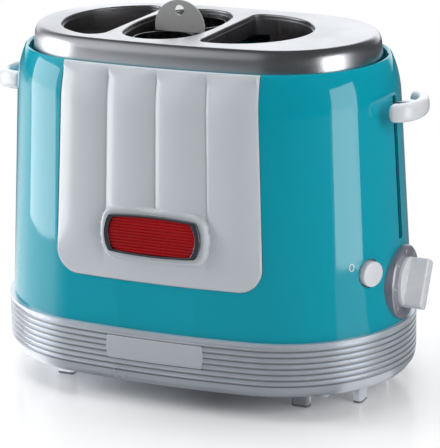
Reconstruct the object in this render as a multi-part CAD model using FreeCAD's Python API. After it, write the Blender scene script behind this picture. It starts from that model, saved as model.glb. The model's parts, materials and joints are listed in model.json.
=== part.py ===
import FreeCAD, Part
import math
import os

# Hot dog toaster: an oval housing with two bun wells and a lift-out sausage
# basket, a lever carriage that lowers buns and sausages between two heater
# boards, a browning dial, a cancel button and a crumb tray.
#
# Millimetres. X runs along the housing towards the lever end, Y runs from the
# front to the back, Z is up. The origin is on the table under the middle.

V = FreeCAD.Vector

# ---- housing outline and heights ----
SEAM_HALF_X = 144.0      # body outline where it meets the base
SEAM_HALF_Y = 89.8
SEAM_SIDE_R = 605.0
UNDERSIDE_Z = 14.5       # underside of the base, above the table
BASE_HEIGHT = 39.0
BODY_HEIGHT = 176.5
SHOULDER_DROP = 27.0     # height of the rolled-in shoulder
SHOULDER_R = 75.0
WALL_LEAN = 0.054        # inward lean of the wall per millimetre of height
LID_RISE = 14.2          # flat top of the cover above the rim
LID_INSET = 11.4         # and inside it

# ---- walls and clearances ----
BODY_WALL = 2.4
FIT = 0.15               # clearance of a piece let into another
SLIP = 0.4               # clearance of a piece that slides past another
RUN = 0.05               # radial clearance of a shaft in its bearing
TRIM_IN = 50.0           # depth of the bands that trim pieces to the wall
TRIM_OUT = 10.0

# ---- base ----
BASE_PROUD = 3.0         # base outline outside the body
TOP_BAND = 3.1
RIB_COUNT = 6
RIB_PITCH = 4.0
RIB_DEPTH = 1.3
RIB_CHAMFER = 1.1
ROLL_STEPS = 3           # strips round a rolled edge
BASE_ROLL = 8.0          # how far the lower edge rolls in
BASE_WALL = 2.2
FLOOR_T = 2.5
FLANGE_T = 2.6
FLANGE_INSET = 4.4
LOCATOR_HEIGHT = 4.5
POST_HALF_LONG = 6.2
POST_HALF_SHORT = 3.1
POST_CHAMFER = 1.6
POST_FLARE = 0.8
LONG_POST_IN_X = 55.0    # posts under the front and back, inside the seam's ends
LONG_POST_IN_Y = 39.8    # and inside its sides
END_POST_IN = 22.0       # posts under the ends, inside the seam's ends
END_POST_Y = 26.0
PAD_T = 1.5
PILLAR_R = 4.5
PILLAR_SET = 1.5         # pillar's side inside the body outline
PILLAR_ANGLE = 50.0
BOSS_HEIGHT = 22.0
SCREW_R = 1.45
SCREW_HEAD_R = 2.9
SCREW_HEAD_T = 2.0
SCREW_LENGTH = 16.0
PILLAR_CAP = 3.5         # material between the screw head and the seam
PLATE_HALF_X = 34.5      # name plate
PLATE_HALF_Z = 8.1
PLATE_DROP = 13.1        # its middle below the seam
PLATE_BULGE = 1.4
PLATE_T = 1.7
GLAND_X = 50.0
GLAND_DROP = 15.0        # its axis below the seam
GLAND_BORE_R = 3.5
GLAND_BARREL_R = 5.0
GLAND_FLANGE_R = 7.5
GLAND_FLANGE_T = 2.5

# ---- body details ----
LIP_WIDTH = 3.0
LIP_CHAMFER = 1.1
LEDGE_DROP = 8.5         # ledge that carries the cover, below the rim
LEDGE_T = 2.4
LEDGE_INSET = 3.5
SLOT_WIDTH = 3.0
SLOT_OVERRUN = 4.0

# ---- front panel ----
PANEL_RISE = 33.0        # panel's lower edge above the seam
PANEL_HALF_LOW = 76.3
PANEL_HALF_TOP = 70.9
PANEL_CORNER_R = 17.0
RECESS_DEPTH = 1.2
CREST_PROUD = 2.6
VALLEY_PROUD = 0.3
FLAT_PROUD = 1.1
FLUTES = 4
FLUTE_START = 9.5        # flutes start this far above the panel's lower edge
FLUTE_FADE = 30.0        # and take this height to reach their full depth
FLUTE_FADE_TOP = 14.0    # and shrink this far below the rim
FLUTE_END_SHARE = 0.25

# ---- badge ----
BADGE_RISE = 33.5        # its middle above the panel's lower edge
BADGE_HALF_X = 31.5
BADGE_HALF_Z = 12.4
BADGE_BULGE_X = 3.5
BADGE_BULGE_Z = 1.5
BADGE_CORNER_R = 2.5
SURROUND_GROW = 4.6
SURROUND_PROUD = 3.4
BEZEL_PROUD = 2.6
BEZEL_END = 3.4
BEZEL_SIDE = 1.3
BEZEL_SEAT = 1.0
LENS_RIBS = 12
LENS_RIB_R = 1.25
LENS_DROP = 0.9          # rib crests below the bezel face

# ---- cover and its openings ----
SHEET = 1.2
LID_ROLL = 4.2
SKIRT_STEP = 0.6
SKIRT_FLARE = 2.4
CAP_DEPTH = 6.5
LIP_DEPTH = 2.8          # lip that the cover turns down round each opening
COLLAR_DEPTH = 14.0      # and the collar that goes on below it
COLLAR_CHAMFER = 1.3
WELL_X = -20.6           # centre of the sausage opening
WELL_HALF_X = 28.0
WELL_SIDE_R = 150.0
WELL_MARGIN = 12.7       # flat metal beyond the ends of the sausage opening
BAND_LEFT = 7.0          # metal left between the openings
BAND_RIGHT = 9.5
LEFT_BUN_END = 15.8      # flat metal beyond the left opening
LEFT_BUN_MARGIN = 10.7   # and beside it
LEFT_BUN_CORNER = 9.0
RIGHT_BUN_END = 43.5     # room for the mechanism under this end
RIGHT_BUN_MARGIN = 15.7
RIGHT_BUN_CORNER = 6.5

# ---- wells, heaters and deck ----
DECK_DROP = 3.3          # deck top below the seam
DECK_T = 1.2
DECK_INSET = 6.0
LINER_GAP = 0.6
LINER_T = 0.8
LINER_TOP_GAP = 0.3
LINER_OPEN = 9.0         # depth of the open side that faces the heater
BOARD_T = 0.8
BOARD_IN = 4.0           # board's upright edges inside the sausage opening's ends
BOARD_TOP_DROP = 27.0    # board top below the flat top
BOARD_SLOT = 6.0
RIBBON_T = 0.3
RIBBON_H = 2.4
RIBBON_ROWS = 11
RIBBON_IN = 4.0          # ribbon inside the board's upright edges
GUARD_WIRE_R = 0.8
GUARD_WIRES_Y = (-34.0, -12.0, 12.0, 34.0)
DECK_BOSS_R = 4.0
DECK_BOSS_IN_LEFT = 26.0  # deck bosses inside the seam's ends
DECK_BOSS_IN_RIGHT = 49.0
DECK_BOSS_Y_LEFT = 30.0
DECK_BOSS_Y_RIGHT = 50.0

# ---- carriage ----
REST_DEPTH = 92.5        # bun lifters below the flat top when raised
LOW_GAP = 17.5           # and above the deck when lowered
LIFTER_T = 1.5
LIFTER_GAP = 3.0
LIFTER_EDGE = 3.0        # plate left round the lifters' crumb slots
LIFTER_SLOT_Y = 5.0
LIFTER_SLOTS = (-26.0, -14.0, 14.0, 26.0)
REST_BAR = 12.0          # bars of the plate under the basket
REST_CROSS = 10.0
BRACKET_T = 2.0
BAR_H = 10.0
RISER_OUT = 5.0          # riser beyond the mechanism plate
RISER_W = 27.0
TONGUE_H = 6.0
HANDLE_DROP = 30.0       # handle's middle below the rim
ROD_OUT = 19.0           # guide rod beyond the mechanism plate
ROD_Y = 14.0
ROD_R = 3.0
ROD_TOP_DROP = 14.0      # its top below the rim
BUSH_R = 7.0
BUSH_H = 22.0
BUSH_DROP = 6.0          # bush below the rod's top
SPRING_R = 5.6
SPRING_WIRE = 1.2
KEEPER_T = 2.5
KEEPER_RISE = 1.5        # keeper above the lifters
MAGNET_GAP = 0.5
MAGNET_OUT = 7.0         # magnet beyond the mechanism plate
MAGNET_L = 20.0
MAGNET_Y0 = -24.0
MAGNET_Y1 = -3.0
YOKE_T = 4.0
MECH_GAP = 4.6           # mechanism plate beyond the right bun opening
MECH_T = 1.2
MECH_HALF_Y = 50.0

# ---- lever handle and side grip ----
GRIP_HALF_Y = 24.5
GRIP_REACH = 22.0        # outside the wall
GRIP_BAR = 7.6
GRIP_CORNER_R = 13.0
GRIP_H = 12.4
GRIP_CHAMFER = 2.6
HANDLE_GAP = 0.9         # handle off the wall where the wall stands out most
STUB_HALF = 3.6

# ---- dial ----
KNOB_RISE = 25.5         # dial's axis above the seam
DIAL_R = 25.2
DIAL_PROUD = 2.6         # dial's face beyond the wall
DIAL_CHAMFER = 1.0
KNOB_WELL = 1.2
KNOB_R = 17.3
KNOB_GAP = 0.35
KNOB_PROUD = 2.8         # knob's disc beyond the dial's face
WING_L = 12.0
WING_T = 11.5
WING_TILT = -28.0
WING_CHAMFER = 2.2
SHAFT_R = 3.0
POT_R = 8.5
POT_DEPTH = 8.0
POT_BUSH_R = 4.5
POT_BUSH_LENGTH = 5.5
PCB_IN = 29.6            # control board inside the wall
PCB_T = 1.6
PCB_HALF_Y = 42.0
PCB_TOP_RISE = 11.6      # its top above the cancel button's axis
TERMINAL_X = 16.0        # terminal block
TERMINAL_Y0 = 18.0
TERMINAL_Y1 = 40.0
TERMINAL_H = 10.0
TERMINAL_STEP = 4.0      # its upper half is narrower by this at each side
TERMINAL_TOP_H = 6.0

# ---- cancel button ----
BUTTON_RISE = 40.9       # its axis above the seam
BUTTON_R = 9.3
BUTTON_ANGLE = -26.0     # direction that the button faces, from +X
BUTTON_PROUD = 4.0
BUTTON_CHAMFER = 0.8
BUTTON_TRAVEL = 2.5
BUTTON_FLANGE = 1.6
BUTTON_FLANGE_R = 11.3
BUTTON_SET = 1.3         # room for the flat flange behind the curved wall
STEM_LENGTH = 7.0
SWITCH_SIZE = 12.0

# ---- sausage basket ----
BASKET_SHIFT = 1.2       # basket's centre from the well's, towards the lever
TUBE_GAP = 4.2           # tubes inside the ends of the sausage opening
TUBE_SPLIT = 10.4        # room between the two tubes
TUBE_T = 0.8
TUBE_FLOOR = 1.0
TUBE_TOP_DROP = 4.3      # tube rims below the flat top
TUBE_WINDOW_W = 5.0
TUBE_WINDOW_STEP = 45.0
TAB_R = 18.5
TAB_T = 1.2
TAB_RISE = 16.5          # tip of the tab above the flat top
TAB_HOLE_R = 3.5
TAB_HOLE_DROP = 7.0
WEB_HALF_X = 12.0
WEB_LAP = 2.0            # web's reach into the tube walls

# ---- crumb tray ----
TRAY_IN_LEFT = 44.0      # tray inside the seam's left end
TRAY_IN_FRONT = 21.8     # and its front side
TRAY_IN_RIGHT = 4.0      # and short of the mechanism plate
TRAY_H = 8.7
TRAY_T = 1.2
TRAY_SLOT_H = 10.0
RAIL_T = 2.0
RAIL_H = 6.0


# ---------------------------------------------------------------- outlines

class Oval:
    """Closed oval of four tangent arcs: two round ends and two flat sides."""

    def __init__(self, half_x, half_y, side_r):
        self.half_x = half_x
        self.half_y = half_y
        self.side_r = side_r
        self.end_r = (2 * side_r * half_y - half_y ** 2 - half_x ** 2) / (2 * (side_r - half_x))
        self.end_x = half_x - self.end_r
        self.side_y = half_y - side_r
        self.turn = math.atan2(-self.side_y, self.end_x)

    def inset(self, depth):
        """Parallel outline, depth inside this one."""
        return Oval(self.half_x - depth, self.half_y - depth, self.side_r - depth)

    def y_at(self, x):
        """Half depth at x."""
        if abs(x) <= self.side_r * math.cos(self.turn):
            return self.side_y + math.sqrt(self.side_r ** 2 - x ** 2)
        return math.sqrt(self.end_r ** 2 - (abs(x) - self.end_x) ** 2)

    def x_at(self, y):
        """Half length at y, on the round end."""
        return self.end_x + math.sqrt(self.end_r ** 2 - y ** 2)

    def arcs(self):
        """Centre, radius and end angles of each arc, anticlockwise from the +X end."""
        turn = self.turn
        return (
            (self.end_x, 0.0, self.end_r, -turn, turn),
            (0.0, self.side_y, self.side_r, turn, math.pi - turn),
            (-self.end_x, 0.0, self.end_r, math.pi - turn, math.pi + turn),
            (0.0, -self.side_y, self.side_r, math.pi + turn, 2 * math.pi - turn),
        )

    def wire(self, z):
        return Part.Wire([arc_edge(*arc, z) for arc in self.arcs()])

    def prism(self, z0, z1):
        return Part.Face(self.wire(z0)).extrude(V(0, 0, z1 - z0))

    def ring(self, profile):
        """Solid that a closed profile face, drawn as (outset, 0, z), makes round this oval."""
        pieces = []
        for x, y, radius, start, end in self.arcs():
            section = profile.copy()
            section.translate(V(x + radius, y, 0))
            section.rotate(V(x, y, 0), V(0, 0, 1), math.degrees(start))
            pieces.append(section.revolve(V(x, y, 0), V(0, 0, 1), math.degrees(end - start)))
        return pieces[0].multiFuse(pieces[1:]).removeSplitter()


class BunOutline:
    """D-shaped opening: a straight edge towards the middle and a round outer side."""

    def __init__(self, edge_x, tip_x, radius, corner_r):
        self.edge_x = edge_x
        self.tip_x = tip_x
        self.radius = radius
        self.corner_r = corner_r
        self.side = math.copysign(1, tip_x - edge_x)
        self.centre_x = tip_x - self.side * radius

    def grow(self, gap):
        """Parallel outline, gap outside this one. A corner that would turn inside out gets sharp."""
        return BunOutline(
            self.edge_x - self.side * gap, self.tip_x + self.side * gap,
            self.radius + gap, max(self.corner_r + gap, FIT))

    def wire(self, z):
        reach = self.radius - self.corner_r
        along = self.corner_r - self.side * (self.centre_x - self.edge_x)
        corner_x = self.edge_x + self.side * self.corner_r
        corner_y = math.sqrt(reach ** 2 - along ** 2)
        turn = math.atan2(corner_y, along)
        joint_x = self.centre_x + self.side * self.radius * math.cos(turn)
        joint_y = self.radius * math.sin(turn)
        mid = (math.pi + turn) / 2
        bend_x = corner_x + self.side * self.corner_r * math.cos(mid)
        bend_y = corner_y + self.corner_r * math.sin(mid)
        edges = [
            Part.makeLine(V(self.edge_x, corner_y, z), V(self.edge_x, -corner_y, z)),
            Part.Arc(
                V(self.edge_x, -corner_y, z), V(bend_x, -bend_y, z), V(joint_x, -joint_y, z)
            ).toShape(),
            Part.Arc(
                V(joint_x, -joint_y, z), V(self.tip_x, 0, z), V(joint_x, joint_y, z)
            ).toShape(),
            Part.Arc(
                V(joint_x, joint_y, z), V(bend_x, bend_y, z), V(self.edge_x, corner_y, z)
            ).toShape(),
        ]
        return Part.Wire(edges)

    def prism(self, z0, z1):
        return Part.Face(self.wire(z0)).extrude(V(0, 0, z1 - z0))


def arc_edge(x, y, radius, start, end, z):
    points = [
        V(x + radius * math.cos(angle), y + radius * math.sin(angle), z)
        for angle in (start, (start + end) / 2, end)
    ]
    return Part.Arc(*points).toShape()


def box(x0, x1, y0, y1, z0, z1):
    return Part.makeBox(x1 - x0, y1 - y0, z1 - z0, V(x0, y0, z0))


def cylinder(radius, x, y, z0, z1):
    return Part.makeCylinder(radius, z1 - z0, V(x, y, z0))


def cylinder_x(radius, x0, x1, y, z):
    return Part.makeCylinder(radius, x1 - x0, V(x0, y, z), V(1, 0, 0))


def polygon_face(points):
    return Part.Face(Part.makePolygon(points + points[:1]))


def section(edges):
    """Face inside a closed chain of edges."""
    return Part.Face(Part.Wire(Part.sortEdges(edges)[0]))


def lines(points):
    return [Part.makeLine(a, b) for a, b in zip(points, points[1:])]


def quarter_turn(x, z, reach_x, reach_z):
    """Points round an outer lower or upper corner, from the side towards the face."""
    return [
        V(x - reach_x * (1 - math.cos(turn)), 0, z + reach_z * math.sin(turn))
        for turn in [math.pi / 2 * step / ROLL_STEPS for step in range(ROLL_STEPS + 1)]
    ]


def fuse(shapes):
    return shapes[0].multiFuse(shapes[1:])


# ---------------------------------------------------------------- wall and places

SEAM = Oval(SEAM_HALF_X, SEAM_HALF_Y, SEAM_SIDE_R)
SEAM_Z = UNDERSIDE_Z + BASE_HEIGHT
RIM_Z = SEAM_Z + BODY_HEIGHT
SHOULDER_Z = RIM_Z - SHOULDER_DROP
LID_Z = RIM_Z + LID_RISE
FLOOR_Z = UNDERSIDE_Z + FLOOR_T
DECK_Z = SEAM_Z - DECK_DROP
LEDGE_Z = RIM_Z - LEDGE_DROP


def wall_inset(z):
    """How far the body wall has come in at height z, along X."""
    if z <= SHOULDER_Z:
        return WALL_LEAN * (z - SEAM_Z)
    lean = math.atan(WALL_LEAN)
    rise = math.sin(lean) + (z - SHOULDER_Z) / SHOULDER_R
    roll = SHOULDER_R * (math.cos(lean) - math.sqrt(1 - rise ** 2))
    return WALL_LEAN * (SHOULDER_Z - SEAM_Z) + roll


def body_outline(z):
    """Outline of the body's outer face at height z."""
    return SEAM.inset(wall_inset(z))


def wall_x(z, y=0.0):
    """X of the body's outer face on the lever end."""
    return body_outline(z).x_at(y)


def wall_point(z, offset=0.0):
    """Point of the wall's section at height z, offset outwards."""
    return V(offset - wall_inset(z), 0, z)


def wall_curve(offset, z0, z1):
    """Edges up the wall's section: the leaning wall and the shoulder."""
    knee = wall_point(SHOULDER_Z, offset)
    middle = wall_point((SHOULDER_Z + z1) / 2, offset)
    shoulder = Part.Arc(knee, middle, wall_point(z1, offset)).toShape()
    return [Part.makeLine(wall_point(z0, offset), knee), shoulder]


def wall_band(inner, outer, z1=RIM_Z):
    """Band round the body, from the seam to z1, between two offsets of its outer face."""
    edges = wall_curve(inner, SEAM_Z, z1) + wall_curve(outer, SEAM_Z, z1)
    for z in (SEAM_Z, z1):
        edges.append(Part.makeLine(wall_point(z, inner), wall_point(z, outer)))
    return SEAM.ring(section(edges))


RIM = body_outline(RIM_Z)
LID = RIM.inset(LID_INSET)

LEFT_BUN = BunOutline(
    WELL_X - WELL_HALF_X - BAND_LEFT, LEFT_BUN_END - LID.half_x,
    LID.half_y - LEFT_BUN_MARGIN, LEFT_BUN_CORNER)
RIGHT_BUN = BunOutline(
    WELL_X + WELL_HALF_X + BAND_RIGHT, LID.half_x - RIGHT_BUN_END,
    LID.half_y - RIGHT_BUN_MARGIN, RIGHT_BUN_CORNER)
BUNS = {"left": LEFT_BUN, "right": RIGHT_BUN}
WELL_HALF_Y = LID.half_y - WELL_MARGIN
BASKET_X = WELL_X + BASKET_SHIFT
TUBE_R = (WELL_HALF_Y - TUBE_GAP - TUBE_SPLIT / 2) / 2
TUBE_Y = TUBE_R + TUBE_SPLIT / 2

REST_Z = LID_Z - REST_DEPTH          # top of the bun lifters, raised
LOW_Z = DECK_Z + LOW_GAP             # and lowered
TRAVEL = REST_Z - LOW_Z
BAR_Z1 = REST_Z - LIFTER_T
BAR_Z0 = BAR_Z1 - BAR_H
LINER_TOP = LID_Z - COLLAR_DEPTH - LINER_TOP_GAP
BOARD_TOP = LID_Z - BOARD_TOP_DROP
BOARD_HALF_Y = WELL_HALF_Y - BOARD_IN
BOARDS_X = {
    "left": WELL_X - WELL_HALF_X - BAND_LEFT / 2,
    "right": WELL_X + WELL_HALF_X + BAND_RIGHT / 2,
}

PLATE_Z = SEAM_Z - PLATE_DROP
PANEL_BOTTOM_Z = SEAM_Z + PANEL_RISE
FLUTE_START_Z = PANEL_BOTTOM_Z + FLUTE_START
FLUTE_FULL_Z = FLUTE_START_Z + FLUTE_FADE
BADGE_Z = PANEL_BOTTOM_Z + BADGE_RISE
KNOB_Z = SEAM_Z + KNOB_RISE
DIAL_FRONT = wall_x(KNOB_Z) + DIAL_PROUD
KNOB_FACE = DIAL_FRONT + KNOB_PROUD
WING_TIP = KNOB_FACE + WING_L
BUTTON_Z = SEAM_Z + BUTTON_RISE
PCB_X = wall_x(KNOB_Z) - PCB_IN
HANDLE_Z = RIM_Z - HANDLE_DROP

MECH_X = RIGHT_BUN.tip_x + MECH_GAP
RISER_X0 = MECH_X + RISER_OUT
RISER_X1 = RISER_X0 + RISER_W
MAGNET_X0 = MECH_X + MAGNET_OUT
MAGNET_X1 = MAGNET_X0 + MAGNET_L
ROD_X = MECH_X + ROD_OUT
ROD_TOP_Z = RIM_Z - ROD_TOP_DROP
BUSH_TOP_Z = ROD_TOP_Z - BUSH_DROP
TRAY_X0 = TRAY_IN_LEFT - SEAM_HALF_X
TRAY_X1 = MECH_X - TRAY_IN_RIGHT
TRAY_Y0 = TRAY_IN_FRONT - SEAM_HALF_Y


# ---------------------------------------------------------------- base

def base_profile():
    """Section of the base wall: band, ribs, rolled lower edge, flange and locating lip."""
    groove = BASE_PROUD - RIB_DEPTH
    inner = groove - BASE_WALL
    first = SEAM_Z - TOP_BAND
    outer = [(BASE_PROUD, SEAM_Z), (BASE_PROUD, first + RIB_CHAMFER), (groove, first)]
    for rib in range(RIB_COUNT):
        high = first - rib * RIB_PITCH
        low = high - RIB_PITCH
        outer += [(BASE_PROUD, high - RIB_CHAMFER), (BASE_PROUD, low + RIB_CHAMFER), (groove, low)]
    roll_top = outer[-1][1] - RIB_CHAMFER
    roll_in = BASE_PROUD - BASE_ROLL
    floor_in = roll_in - FLOOR_T
    wall_top = SEAM_Z - FLANGE_T
    lip_top = SEAM_Z + LOCATOR_HEIGHT
    lip = BODY_WALL + 2 * FIT
    inside = [
        (floor_in, UNDERSIDE_Z), (floor_in, FLOOR_Z), (roll_in - FLOOR_T / 2, FLOOR_Z),
        (inner, roll_top), (inner, wall_top), (-FLANGE_INSET, wall_top), (-FLANGE_INSET, lip_top),
        (-lip - WALL_LEAN * LOCATOR_HEIGHT, lip_top), (-lip, SEAM_Z), outer[0],
    ]
    roll = quarter_turn(BASE_PROUD, roll_top, BASE_ROLL, UNDERSIDE_Z - roll_top)
    path = [V(x, 0, z) for x, z in outer] + roll + [V(x, 0, z) for x, z in inside]
    return section(lines(path))


def pillar_places():
    reach = SEAM.end_r - PILLAR_R - PILLAR_SET
    angle = math.radians(PILLAR_ANGLE)
    x = SEAM.end_x + reach * math.cos(angle)
    y = reach * math.sin(angle)
    return [(sx * x, sy * y) for sx in (-1, 1) for sy in (-1, 1)]


def post_places():
    """Centre of each foot post, and whether its long side runs along Y."""
    long_x = SEAM_HALF_X - LONG_POST_IN_X
    long_y = SEAM_HALF_Y - LONG_POST_IN_Y
    end_x = SEAM_HALF_X - END_POST_IN
    signs = [(sx, sy) for sx in (-1, 1) for sy in (-1, 1)]
    long_posts = [(sx * long_x, sy * long_y, False) for sx, sy in signs]
    return long_posts + [(sx * end_x, sy * END_POST_Y, True) for sx, sy in signs]


def deck_boss_places():
    left = DECK_BOSS_IN_LEFT - SEAM_HALF_X
    right = SEAM_HALF_X - DECK_BOSS_IN_RIGHT
    return [
        (left, -DECK_BOSS_Y_LEFT), (left, DECK_BOSS_Y_LEFT),
        (right, -DECK_BOSS_Y_RIGHT), (right, DECK_BOSS_Y_RIGHT),
    ]


def post_outline(grow, z):
    """Rectangle with chamfered corners."""
    long, short = POST_HALF_LONG + grow, POST_HALF_SHORT + grow
    cut = POST_CHAMFER
    quarter = [(long, short - cut), (long - cut, short)]
    upper = quarter + [(-x, y) for x, y in quarter[::-1]]
    points = [V(x, y, z) for x, y in upper + [(-x, -y) for x, y in upper]]
    return Part.makePolygon(points + points[:1])


def post_solid(x, y, turned, z0, z1, flare):
    shape = Part.makeLoft([post_outline(0.0, z0), post_outline(flare, z1)], True, True)
    if turned:
        shape.rotate(V(0, 0, 0), V(0, 0, 1), 90)
    shape.translate(V(x, y, 0))
    return shape


def plate_prism(shrink, y0, y1):
    """Prism along Y with the name plate's outline."""
    half_x = PLATE_HALF_X - shrink
    half_z = PLATE_HALF_Z - shrink
    low, high = PLATE_Z - half_z, PLATE_Z + half_z
    right = Part.Arc(V(half_x, y0, low), V(half_x + PLATE_BULGE, y0, PLATE_Z), V(half_x, y0, high))
    left = Part.Arc(V(-half_x, y0, high), V(-half_x - PLATE_BULGE, y0, PLATE_Z), V(-half_x, y0, low))
    wire = Part.Wire([
        Part.makeLine(V(-half_x, y0, low), V(half_x, y0, low)),
        right.toShape(),
        Part.makeLine(V(half_x, y0, high), V(-half_x, y0, high)),
        left.toShape(),
    ])
    return Part.Face(wire).extrude(V(0, y1 - y0, 0))


def front_band(inner, outer):
    """Curved slab between two outsets of the seam outline, over the front side."""
    low, high = PLATE_Z - 2 * PLATE_HALF_Z, PLATE_Z + 2 * PLATE_HALF_Z
    y = SEAM.side_r - SEAM.half_y
    big = cylinder(SEAM.side_r + outer, 0, y, low, high)
    return big.cut(cylinder(SEAM.side_r + inner, 0, y, low - 1, high + 1))


def plate_bed():
    """Outset of the surface that the name plate sits on."""
    return BASE_PROUD - PLATE_T


def tray_slot(clearance):
    """Opening for the crumb tray in the lower back of the base."""
    return box(
        TRAY_X0 - SLIP + clearance, TRAY_X1 + SLIP - clearance,
        SEAM_HALF_Y / 2, SEAM_HALF_Y + 2 * BASE_PROUD,
        FLOOR_Z + clearance, FLOOR_Z + TRAY_SLOT_H - clearance,
    )


def gland_seat():
    """Centre of the flat that is spot-faced into the back ribs for the cord gland."""
    groove = SEAM.inset(RIB_DEPTH - BASE_PROUD)
    return V(GLAND_X, groove.y_at(GLAND_X + GLAND_FLANGE_R), SEAM_Z - GLAND_DROP)


def back_cylinder(radius, depth, length):
    """Cylinder along Y on the gland's axis, starting depth inside the seat."""
    return Part.makeCylinder(radius, length, gland_seat() - V(0, depth, 0), V(0, 1, 0))


def base_housing():
    shell = SEAM.ring(base_profile())
    floor = SEAM.inset(BASE_ROLL - BASE_PROUD + FLOOR_T).prism(UNDERSIDE_Z, FLOOR_Z)
    parts = [shell, floor]
    for x, y in pillar_places():
        parts.append(cylinder(PILLAR_R, x, y, UNDERSIDE_Z, SEAM_Z))
    for x, y in deck_boss_places():
        parts.append(cylinder(DECK_BOSS_R, x, y, UNDERSIDE_Z, DECK_Z - DECK_T))
    for x0 in (TRAY_X0 - SLIP - RAIL_T, TRAY_X1 + SLIP):
        parts.append(box(x0, x0 + RAIL_T, TRAY_Y0, -TRAY_Y0, UNDERSIDE_Z, FLOOR_Z + RAIL_H))
    base = fuse(parts)
    tools = [tray_slot(0.0)]
    head_z = SEAM_Z - PILLAR_CAP
    for x, y in pillar_places():
        tools.append(cylinder(SCREW_HEAD_R + SLIP, x, y, UNDERSIDE_Z - 1, head_z))
        tools.append(cylinder(SCREW_R + RUN, x, y, head_z - 1, SEAM_Z + 1))
        tools.append(cylinder(PILLAR_R + SLIP, x, y, SEAM_Z, SEAM_Z + 2 * LOCATOR_HEIGHT))
    bed = front_band(plate_bed(), BASE_PROUD + 2)
    tools.append(bed.common(plate_prism(0.0, -2 * SEAM_HALF_Y, 0)))
    tools.append(back_cylinder(GLAND_BARREL_R + RUN, 3 * BASE_WALL, 4 * BASE_WALL))
    tools.append(back_cylinder(GLAND_FLANGE_R + SLIP, 0, 4 * BASE_WALL))
    return base.cut(tools).removeSplitter()


def foot_posts():
    """Short flared posts that carry the base on the pads."""
    posts = [
        post_solid(x, y, turned, PAD_T, UNDERSIDE_Z, POST_FLARE) for x, y, turned in post_places()
    ]
    return Part.makeCompound(posts)


def foot_pads():
    pads = [post_solid(x, y, turned, 0, PAD_T, 0.0) for x, y, turned in post_places()]
    return Part.makeCompound(pads)


def name_plate():
    slab = front_band(plate_bed(), BASE_PROUD + FIT)
    return slab.common(plate_prism(FIT, -2 * SEAM_HALF_Y, 0))


def cord_gland():
    barrel = back_cylinder(GLAND_BARREL_R, 3 * BASE_WALL, 3 * BASE_WALL)
    flange = back_cylinder(GLAND_FLANGE_R, 0, GLAND_FLANGE_T)
    bore = back_cylinder(GLAND_BORE_R, 4 * BASE_WALL, 6 * BASE_WALL)
    return barrel.fuse(flange).cut(bore)


def hexagon(radius, x, y, z0, z1):
    corners = [
        V(x + radius * math.cos(turn), y + radius * math.sin(turn), z0)
        for turn in [math.pi / 3 * step for step in range(6)]
    ]
    return polygon_face(corners).extrude(V(0, 0, z1 - z0))


def base_screws():
    head_z = SEAM_Z - PILLAR_CAP
    screws = []
    for x, y in pillar_places():
        head = hexagon(SCREW_HEAD_R, x, y, head_z - SCREW_HEAD_T, head_z)
        shank = cylinder(SCREW_R, x, y, head_z, head_z + SCREW_LENGTH)
        screws.append(head.fuse(shank))
    return Part.makeCompound(screws)


# ---------------------------------------------------------------- body shell

def panel_half(z):
    """Half width of the front panel at height z."""
    share = (z - PANEL_BOTTOM_Z) / (RIM_Z - PANEL_BOTTOM_Z)
    return PANEL_HALF_LOW + share * (PANEL_HALF_TOP - PANEL_HALF_LOW)


def panel_prism(grow):
    """U-shaped prism along Y with the panel's outline, rounded at its lower corners."""
    y0 = -2 * SEAM_HALF_Y
    low = PANEL_BOTTOM_Z - grow
    high = RIM_Z + LID_RISE
    points = [
        V(-panel_half(low) - grow, y0, low),
        V(panel_half(low) + grow, y0, low),
        V(panel_half(high) + grow, y0, high),
        V(-panel_half(high) - grow, y0, high),
    ]
    prism = polygon_face(points).extrude(V(0, 1.6 * SEAM_HALF_Y, 0))
    corners = [
        edge for edge in prism.Edges
        if abs(edge.tangentAt(edge.FirstParameter).y) > 0.99 and edge.CenterOfMass.z < low + 1
    ]
    return prism.makeFillet(PANEL_CORNER_R + grow, corners)


def panel_arc(z, x0, x1, valley, crest):
    """Arc of one flute between x0 and x1, standing proud of the body's wall."""
    outline = body_outline(z)
    middle = (x0 + x1) / 2
    return Part.Arc(
        V(x0, -outline.y_at(x0) - valley, z),
        V(middle, -outline.y_at(middle) - crest, z),
        V(x1, -outline.y_at(x1) - valley, z),
    ).toShape()


def flute_share(z):
    """Nought where the panel is flat, one where the flutes have their full depth."""
    low = (z - FLUTE_START_Z) / (FLUTE_FULL_Z - FLUTE_START_Z)
    high = FLUTE_END_SHARE + (1 - FLUTE_END_SHARE) * (RIM_Z - z) / FLUTE_FADE_TOP
    share = min(max(min(low, high), 0.0), 1.0)
    return share * share * (3 - 2 * share)


def panel_section(z):
    """Closed wire of the panel at height z: flutes in front, a straight back."""
    share = flute_share(z)
    valley = FLAT_PROUD + share * (VALLEY_PROUD - FLAT_PROUD)
    crest = FLAT_PROUD + share * (CREST_PROUD - FLAT_PROUD)
    half = panel_half(z) + 2 * FIT
    xs = [half * (2 * step / FLUTES - 1) for step in range(FLUTES + 1)]
    front = [panel_arc(z, a, b, valley, crest) for a, b in zip(xs, xs[1:])]
    start = front[0].firstVertex().Point
    end = front[-1].lastVertex().Point
    back = V(0, 4 * RECESS_DEPTH, 0)
    return Part.Wire(front + lines([end, end + back, start + back, start]))


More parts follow.
